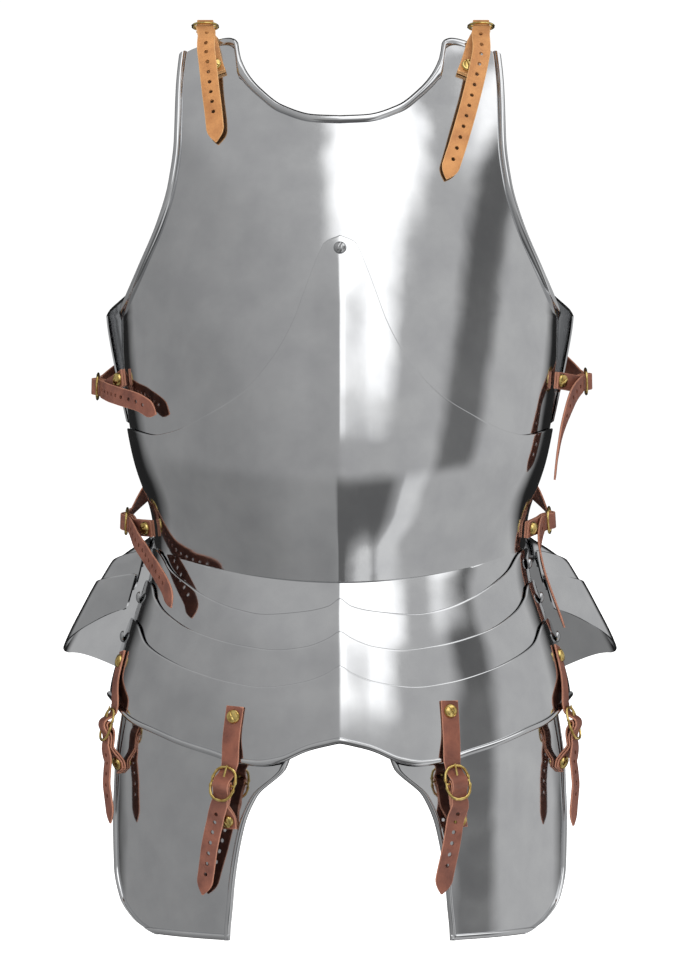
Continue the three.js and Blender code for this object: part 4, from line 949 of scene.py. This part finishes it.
straps = {
    ("shoulder", "right"): {
        "incoming": [("rear", 106, -56, 0.2), ("rear", 106, -30, 0.6), ("air", 104, 42, -5, 0, 0.6, 0.8),
                     ("air", 107, 14, -0.3, 0, 0.05, 1)],
        "hinge": ("air", 107, -20, -1.8, 0, -0.1, 1), "along": (0, 1, 0.1),
        "tail": [("front", 103.5, -24, 4), ("front", 100, -52, 2), ("front", 97, -76, 2),
                 ("front", 96, -94, 1)],
        "tailHeights": (11.5, 9, 7, 5.5, 4, 1.5), "rivetAt": 48, "pitch": 8.9,
        "chape": [("air", 103.5, -40, -12, -0.1, -0.8, 0.6), ("front", 99, -28, 0.4),
                  ("front", 92, -48, 0.7)],
    },
    ("shoulder", "left"): {
        "incoming": [("rear", 106, -56, 0.2), ("rear", 106, -30, 0.6), ("air", 109, 42, -5, 0, 0.6, 0.8),
                     ("air", 112, 14, -0.3, 0, 0.05, 1)],
        "hinge": ("air", 112, -20, -1.8, 0, -0.1, 1), "along": (0, 1, 0.1),
        "tail": [("front", 109, -26, 4), ("front", 102, -56, 2), ("front", 92, -92, 2),
                 ("front", 82, -124, 1)],
        "tailHeights": (11.5, 9, 7, 5.5, 4, 1.5), "rivetAt": 50, "pitch": 9.6,
        "chape": [("air", 107, -39, -13, 0.1, -0.8, 0.6), ("front", 101, -30, 0.4),
                  ("front", 92, -54, 1.6)],
    },
    ("side_upper", "right"): {
        "incoming": [("rear", 156, -260, 0.2), ("rear", 171, -264, 0.6)],
        "hinge": ("air", 188, 5, -281, 0.98, -0.2, 0), "along": (0.2, 0.97, 0.15),
        "tail": [("air", 178, -32, -287, 0.9, -0.43, 0), ("air", 167, -56, -291, 0.84, -0.54, 0),
                 ("front", 153, -296, 5), ("front", 141, -305, 5)],
        "tailHeights": (5.5, 6, 6, 4, 3, 2), "rivetAt": 37, "pitch": 9,
        "chape": [("front", 171.5, -276, 2), ("front", 168, -274, 0.8), ("front", 161, -271, 0.4)],
    },
    ("side_upper", "left"): {
        "incoming": [("rear", 156, -248, 0.2), ("rear", 171, -254, 0.6)],
        "hinge": ("air", 191, 6, -277, 0.98, -0.2, 0), "along": (0.2, 0.97, 0.15),
        "tail": [("air", 179, -30, -292, 0.95, -0.3, 0.1), ("air", 172, -42, -314, 0.98, -0.15, 0.1),
                 ("air", 169, -46, -336, 1, -0.1, 0), ("air", 168, -47, -356, 1, -0.1, 0)],
        "tailHeights": (5, 5, 4, 3, 2, 1), "rivetAt": 38, "pitch": 9,
        "chape": [("front", 171.5, -277, 2), ("front", 168, -277, 0.8), ("front", 161, -277, 0.4)],
    },
    ("side_lower", "right"): {
        "incoming": [("rearLower", 132, -350, 0.3), ("rearLower", 142, -354, 1.2),
                     ("rearLower", 149.5, -359, 4)],
        "hinge": ("air", 165, 7, -389, 0.98, -0.2, 0), "along": (0.2, 0.95, 0.25),
        "tail": [("air", 157, -28, -403, 0.9, -0.43, 0), ("air", 148, -50, -415, 0.87, -0.5, 0),
                 ("air", 138.5, -76, -429, 0.85, -0.53, 0), ("air", 131.5, -96, -442, 0.85, -0.53, 0),
                 ("air", 128.5, -104, -455, 0.85, -0.53, 0)],
        "tailHeights": (5, 5, 5, 4, 3, 2), "rivetAt": 36, "pitch": 9,
        "chape": [("plackart", 145.5, -394, 0.4), ("plackart", 138.5, -395, 0.2)],
    },
    ("side_lower", "left"): {
        "incoming": [("rearLower", 132, -350, 0.3), ("rearLower", 142, -353, 1.2),
                     ("rearLower", 149.5, -357, 4)],
        "hinge": ("air", 162, 7, -388, 0.94, -0.34, 0), "along": (0.34, 0.9, 0.2),
        "tail": [("air", 153, -20, -406, 0.98, -0.15, 0.1), ("air", 155, -19, -420, 0.98, 0, 0.15),
                 ("air", 162, -15, -438, 0.95, 0, 0.3), ("air", 170, -12, -456, 0.93, 0, 0.36),
                 ("air", 178, -10, -474, 0.93, 0, 0.36)],
        "tailHeights": (5.5, 5.5, 4, 3, 2, 1), "rivetAt": 36, "pitch": 9,
        "chape": [("plackart", 145, -395, 0.4), ("plackart", 138, -397, 0.2)],
    },
    ("tasset_inner", "right"): {
        "incoming": [("lame", 79, -530, 0.2), ("lame", 82, -554, 0.4)],
        "hinge": ("tasset", 86, -586, 8.5), "along": (-0.12, -0.25, 0.95),
        "tail": [("tasset", 91, -612, 4.5), ("tasset", 97, -642, 2), ("tasset", 103.5, -672, 2)],
        "tailHeights": (6.5, 7.5, 7, 5, 3, 2), "rivetAt": 31, "pitch": 8.6,
        "chape": [("tasset", 84, -614, 0.2), ("tasset", 83.5, -626, 0.2)],
    },
    ("tasset_inner", "left"): {
        "incoming": [("lame", 82.5, -526, 0.2), ("lame", 84, -553, 0.4)],
        "hinge": ("tasset", 86.5, -585, 8.5), "along": (-0.04, -0.25, 0.95),
        "tail": [("tasset", 85, -612, 4.5), ("tasset", 80, -642, 4), ("tasset", 76, -670, 5)],
        "tailHeights": (6.5, 7.5, 7, 5, 3, 2), "rivetAt": 31, "pitch": 8.6,
        "chape": [("tasset", 89, -614, 0.2), ("tasset", 90, -626, 0.2)],
    },
    ("tasset_outer", "right"): {
        "incoming": [("lame", 170, -494, 0.2), ("lame", 175, -516, 0.4)],
        "hinge": ("tasset", 176.5, -549, 9), "along": (0.2, -0.1, 0.95),
        "tail": [("tasset", 175, -575, 6), ("tasset", 176, -600, 8), ("tasset", 177, -624, 11)],
        "tailHeights": (6.5, 7.5, 7, 5, 3, 2), "rivetAt": 31, "pitch": 8.6,
        "chape": [("tasset", 170, -577, 0.2), ("tasset", 168, -589, 0.2)],
    },
    ("tasset_outer", "left"): {
        "incoming": [("lame", 170, -490, 0.2), ("lame", 175, -514, 0.4)],
        "hinge": ("tasset", 177, -548, 9), "along": (0.2, -0.1, 0.95),
        "tail": [("tasset", 176, -575, 7), ("tasset", 178, -600, 10), ("tasset", 180, -626, 13)],
        "tailHeights": (6.5, 7.5, 7, 5, 3, 2), "rivetAt": 31, "pitch": 8.6,
        "chape": [("tasset", 170.5, -576, 0.2), ("tasset", 168.5, -588, 0.2)],
    },
}
for (name, word), spec in straps.items():
    strapSet(name, word, spec)
print("straps done")


# A dome standing at a place, its axis along a direction.
def domeAlong(name, place, direction, radius, height, material, body, slot, replaced=(), cut=None):
    z = unit(np.asarray(direction, float))
    x = unit(np.cross([0, 0, 1.0] if abs(z[2]) < 0.9 else [1.0, 0, 0], z))
    shape = standing(dome(radius, height, slot=cut), np.asarray(place, float), x, np.cross(z, x), z)
    return makePiece(name, *shape, material, body, slot, replaced)


fauldHead = {"radius": 4.6, "height": 2.6, "sunk": 2.7}
screwHead = {"z": -179.0, "radius": 5.0, "height": 3.6, "slot": 1.2}
for number, body in ((1, "cuirass"), (2, "fauld_1"), (3, "fauld_2")):
    for word, side in (("left", 1), ("right", -1)):
        rivet = f"fauld_rivet_{number}_{word}"
        low, high = (np.array(corner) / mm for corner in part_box(rivet))
        place = (low + high) / 2
        place[0] = (high[0] if side > 0 else low[0]) - side * fauldHead["sunk"]
        domeAlong(f"fauld_head_{number}_{word}", place, [side, 0, 0], fauldHead["radius"],
                  fauldHead["height"], steelRivet, body, "steel", (rivet,))
point, normal = lifted(frontSurface, 0.0, screwHead["z"], np.float64(lap))
domeAlong("plackart_head", point, normal, screwHead["radius"], screwHead["height"], steelRivet, "cuirass",
          "steel", ("plackart_screw",), cut=screwHead["slot"])


# The studio: floor, camera, a world that the steel mirrors, and soft lights for the leather.
studio = {"floorDrop": 0.05, "floorSize": 30.0, "background": "#ffffff", "cameraDistance": 3.0,
          "cameraHeight": -0.364, "lens": 137.8, "shift": 0.0102}
floorHeight = cadBox[0][2] - studio["floorDrop"]
size = studio["floorSize"]
floorMesh = bpy.data.meshes.new("floor")
floorMesh.from_pydata([(-size, -size, floorHeight), (size, -size, floorHeight), (size, size, floorHeight),
                       (-size, size, floorHeight)], [], [(0, 1, 2, 3)])
floor = bpy.data.objects.new("floor", floorMesh)
bpy.context.scene.collection.objects.link(floor)
floor.visible_glossy = False

# Matt white paper sheet: lit evenly, it meets the pale background without a line.
floorPaper, tree, output = newMaterial("paper_matt_white")
shader = addNode(tree, "ShaderNodeBsdfDiffuse", inputs={"Color": colour("#f4f4f4")})
glow = addNode(tree, "ShaderNodeEmission", inputs={"Color": colour("#ffffff"), "Strength": 0.75})
both = addNode(tree, "ShaderNodeAddShader", links={0: shader.outputs[0], 1: glow.outputs[0]})
tree.links.new(both.outputs[0], output.inputs[0])
floorMesh.materials.append(floorPaper)

cameraData = bpy.data.cameras.new("camera")
cameraData.lens = studio["lens"]
cameraData.sensor_width = 36
cameraData.shift_x = studio["shift"]
camera = bpy.data.objects.new("camera", cameraData)
camera.location = (0, -studio["cameraDistance"], studio["cameraHeight"])
camera.rotation_euler = (math.radians(90), 0, 0)
bpy.context.scene.collection.objects.link(camera)
bpy.context.scene.camera = camera
bpy.context.scene.view_settings.view_transform = "Standard"  # white paper stays white

# The walls that the steel mirrors, at four heights: their brightness on the wearer's right and left, and
# panels before them as (from, to, brightness), in degrees from straight ahead. Soft boxes are bright and
# screens dark, and black cloth hangs behind.
studioWalls = {
    "top": {"right": 0.5, "left": 0.6, "panels": [(0, 28, 1.9), (55, 95, 1.6)]},
    "above": {"right": 0.4, "left": 0.6, "panels": [(4, 20, 1.7), (60, 76, 0.15)]},
    "level": {"right": 0.35, "left": 0.6, "panels": [(56, 72, 0.2)]},
    "below": {"right": 0.28, "left": 0.55, "panels": [(-12, 28, 0.16), (36, 46, 0.9)]},
}
studioEdges = {"cloth": 0.02, "clothFrom": 144, "soft": 8, "wallTurn": (-60, 45)}


# Ramp stops for one height: cloth, wall, each panel between soft edges, wall, cloth.
def wallStops(wall):
    soft, cloth, back = studioEdges["soft"], studioEdges["cloth"], studioEdges["clothFrom"]
    base = lambda angle: float(np.interp(angle, studioEdges["wallTurn"], (wall["right"], wall["left"])))
    stops = [(-180, cloth), (-back, cloth), (-back + 2 * soft, wall["right"]), (-60, wall["right"])]
    for start, end, value in wall["panels"]:
        before, after = start - soft, end + soft
        stops += [(before, base(before)), (start, value), (end, value), (after, base(after))]
    stops += [(back - 2 * soft, wall["left"]), (back, cloth), (180, cloth)]
    return [((angle + 180) / 360, value) for angle, value in stops]


world = bpy.data.worlds.new("studio")
bpy.context.scene.world = world
world.use_nodes = True
tree = world.node_tree
tree.nodes.clear()
way = addNode(tree, "ShaderNodeSeparateXYZ",
              links={0: addNode(tree, "ShaderNodeTexCoord").outputs["Generated"]}).outputs
ahead = addNode(tree, "ShaderNodeMath", {"operation": "MULTIPLY"}, {1: -1.0}, {0: way["Y"]}).outputs[0]
turn = addNode(tree, "ShaderNodeMath", {"operation": "ARCTAN2"}, {}, {0: way["X"], 1: ahead}).outputs[0]
share = addNode(tree, "ShaderNodeMapRange", {}, {"From Min": -math.pi, "From Max": math.pi},
                {"Value": turn}).outputs[0]
bands = {key: rampNode(tree, share, wallStops(wall)) for key, wall in studioWalls.items()}


# One brightness below a height of the looking direction, another above it.
def heightMix(start, end, lower, upper):
    factor = addNode(tree, "ShaderNodeMapRange", {"interpolation_type": "SMOOTHSTEP"},
                     {"From Min": start, "From Max": end}, {"Value": way["Z"]}).outputs[0]
    mixed = addNode(tree, "ShaderNodeMix", {"data_type": "RGBA"}, {}, {0: factor, 6: lower, 7: upper})
    return mixed.outputs[2]


walls = heightMix(-0.28, -0.08, bands["below"], bands["level"])
upper = heightMix(0.18, 0.4, walls, bands["above"])
room = heightMix(0.5, 0.68, upper, bands["top"])
lightPath = addNode(tree, "ShaderNodeLightPath").outputs
seen = addNode(tree, "ShaderNodeBackground", {}, {"Color": colour(studio["background"]), "Strength": 1.05})
mirrored = addNode(tree, "ShaderNodeBackground", {}, {"Strength": 1.0}, {"Color": room})
soft = addNode(tree, "ShaderNodeBackground", {}, {"Color": [1, 1, 1, 1], "Strength": 0.8})
matt = addNode(tree, "ShaderNodeMixShader", links={0: lightPath["Is Glossy Ray"], 1: soft.outputs[0],
                                                   2: mirrored.outputs[0]})
whole = addNode(tree, "ShaderNodeMixShader", links={0: lightPath["Is Camera Ray"], 1: matt.outputs[0],
                                                    2: seen.outputs[0]})
worldOut = addNode(tree, "ShaderNodeOutputWorld", links={0: whole.outputs[0]})

# Where the soft lights hang, in metres, their sizes and powers; both look at the middle of the cuirass.
lights = {
    "key": {"at": (0.9, -2.2, 1.4), "size": 1.2, "power": 40},
    "fill": {"at": (-1.8, -1.8, 0.4), "size": 1.5, "power": 18},
}
for name, spec in lights.items():
    data = bpy.data.lights.new(name, "AREA")
    data.size = spec["size"]
    data.energy = spec["power"]
    lamp = bpy.data.objects.new(name, data)
    lamp.location = spec["at"]
    aim = np.array(spec["at"]) - np.array([0, 0, studio["cameraHeight"] + 0.014])
    tilt = math.acos(aim[2] / np.linalg.norm(aim))
    lamp.rotation_euler = (tilt, 0, math.atan2(aim[1], aim[0]) + math.pi / 2)
    lamp.visible_glossy = False
    bpy.context.scene.collection.objects.link(lamp)
print("studio ready")
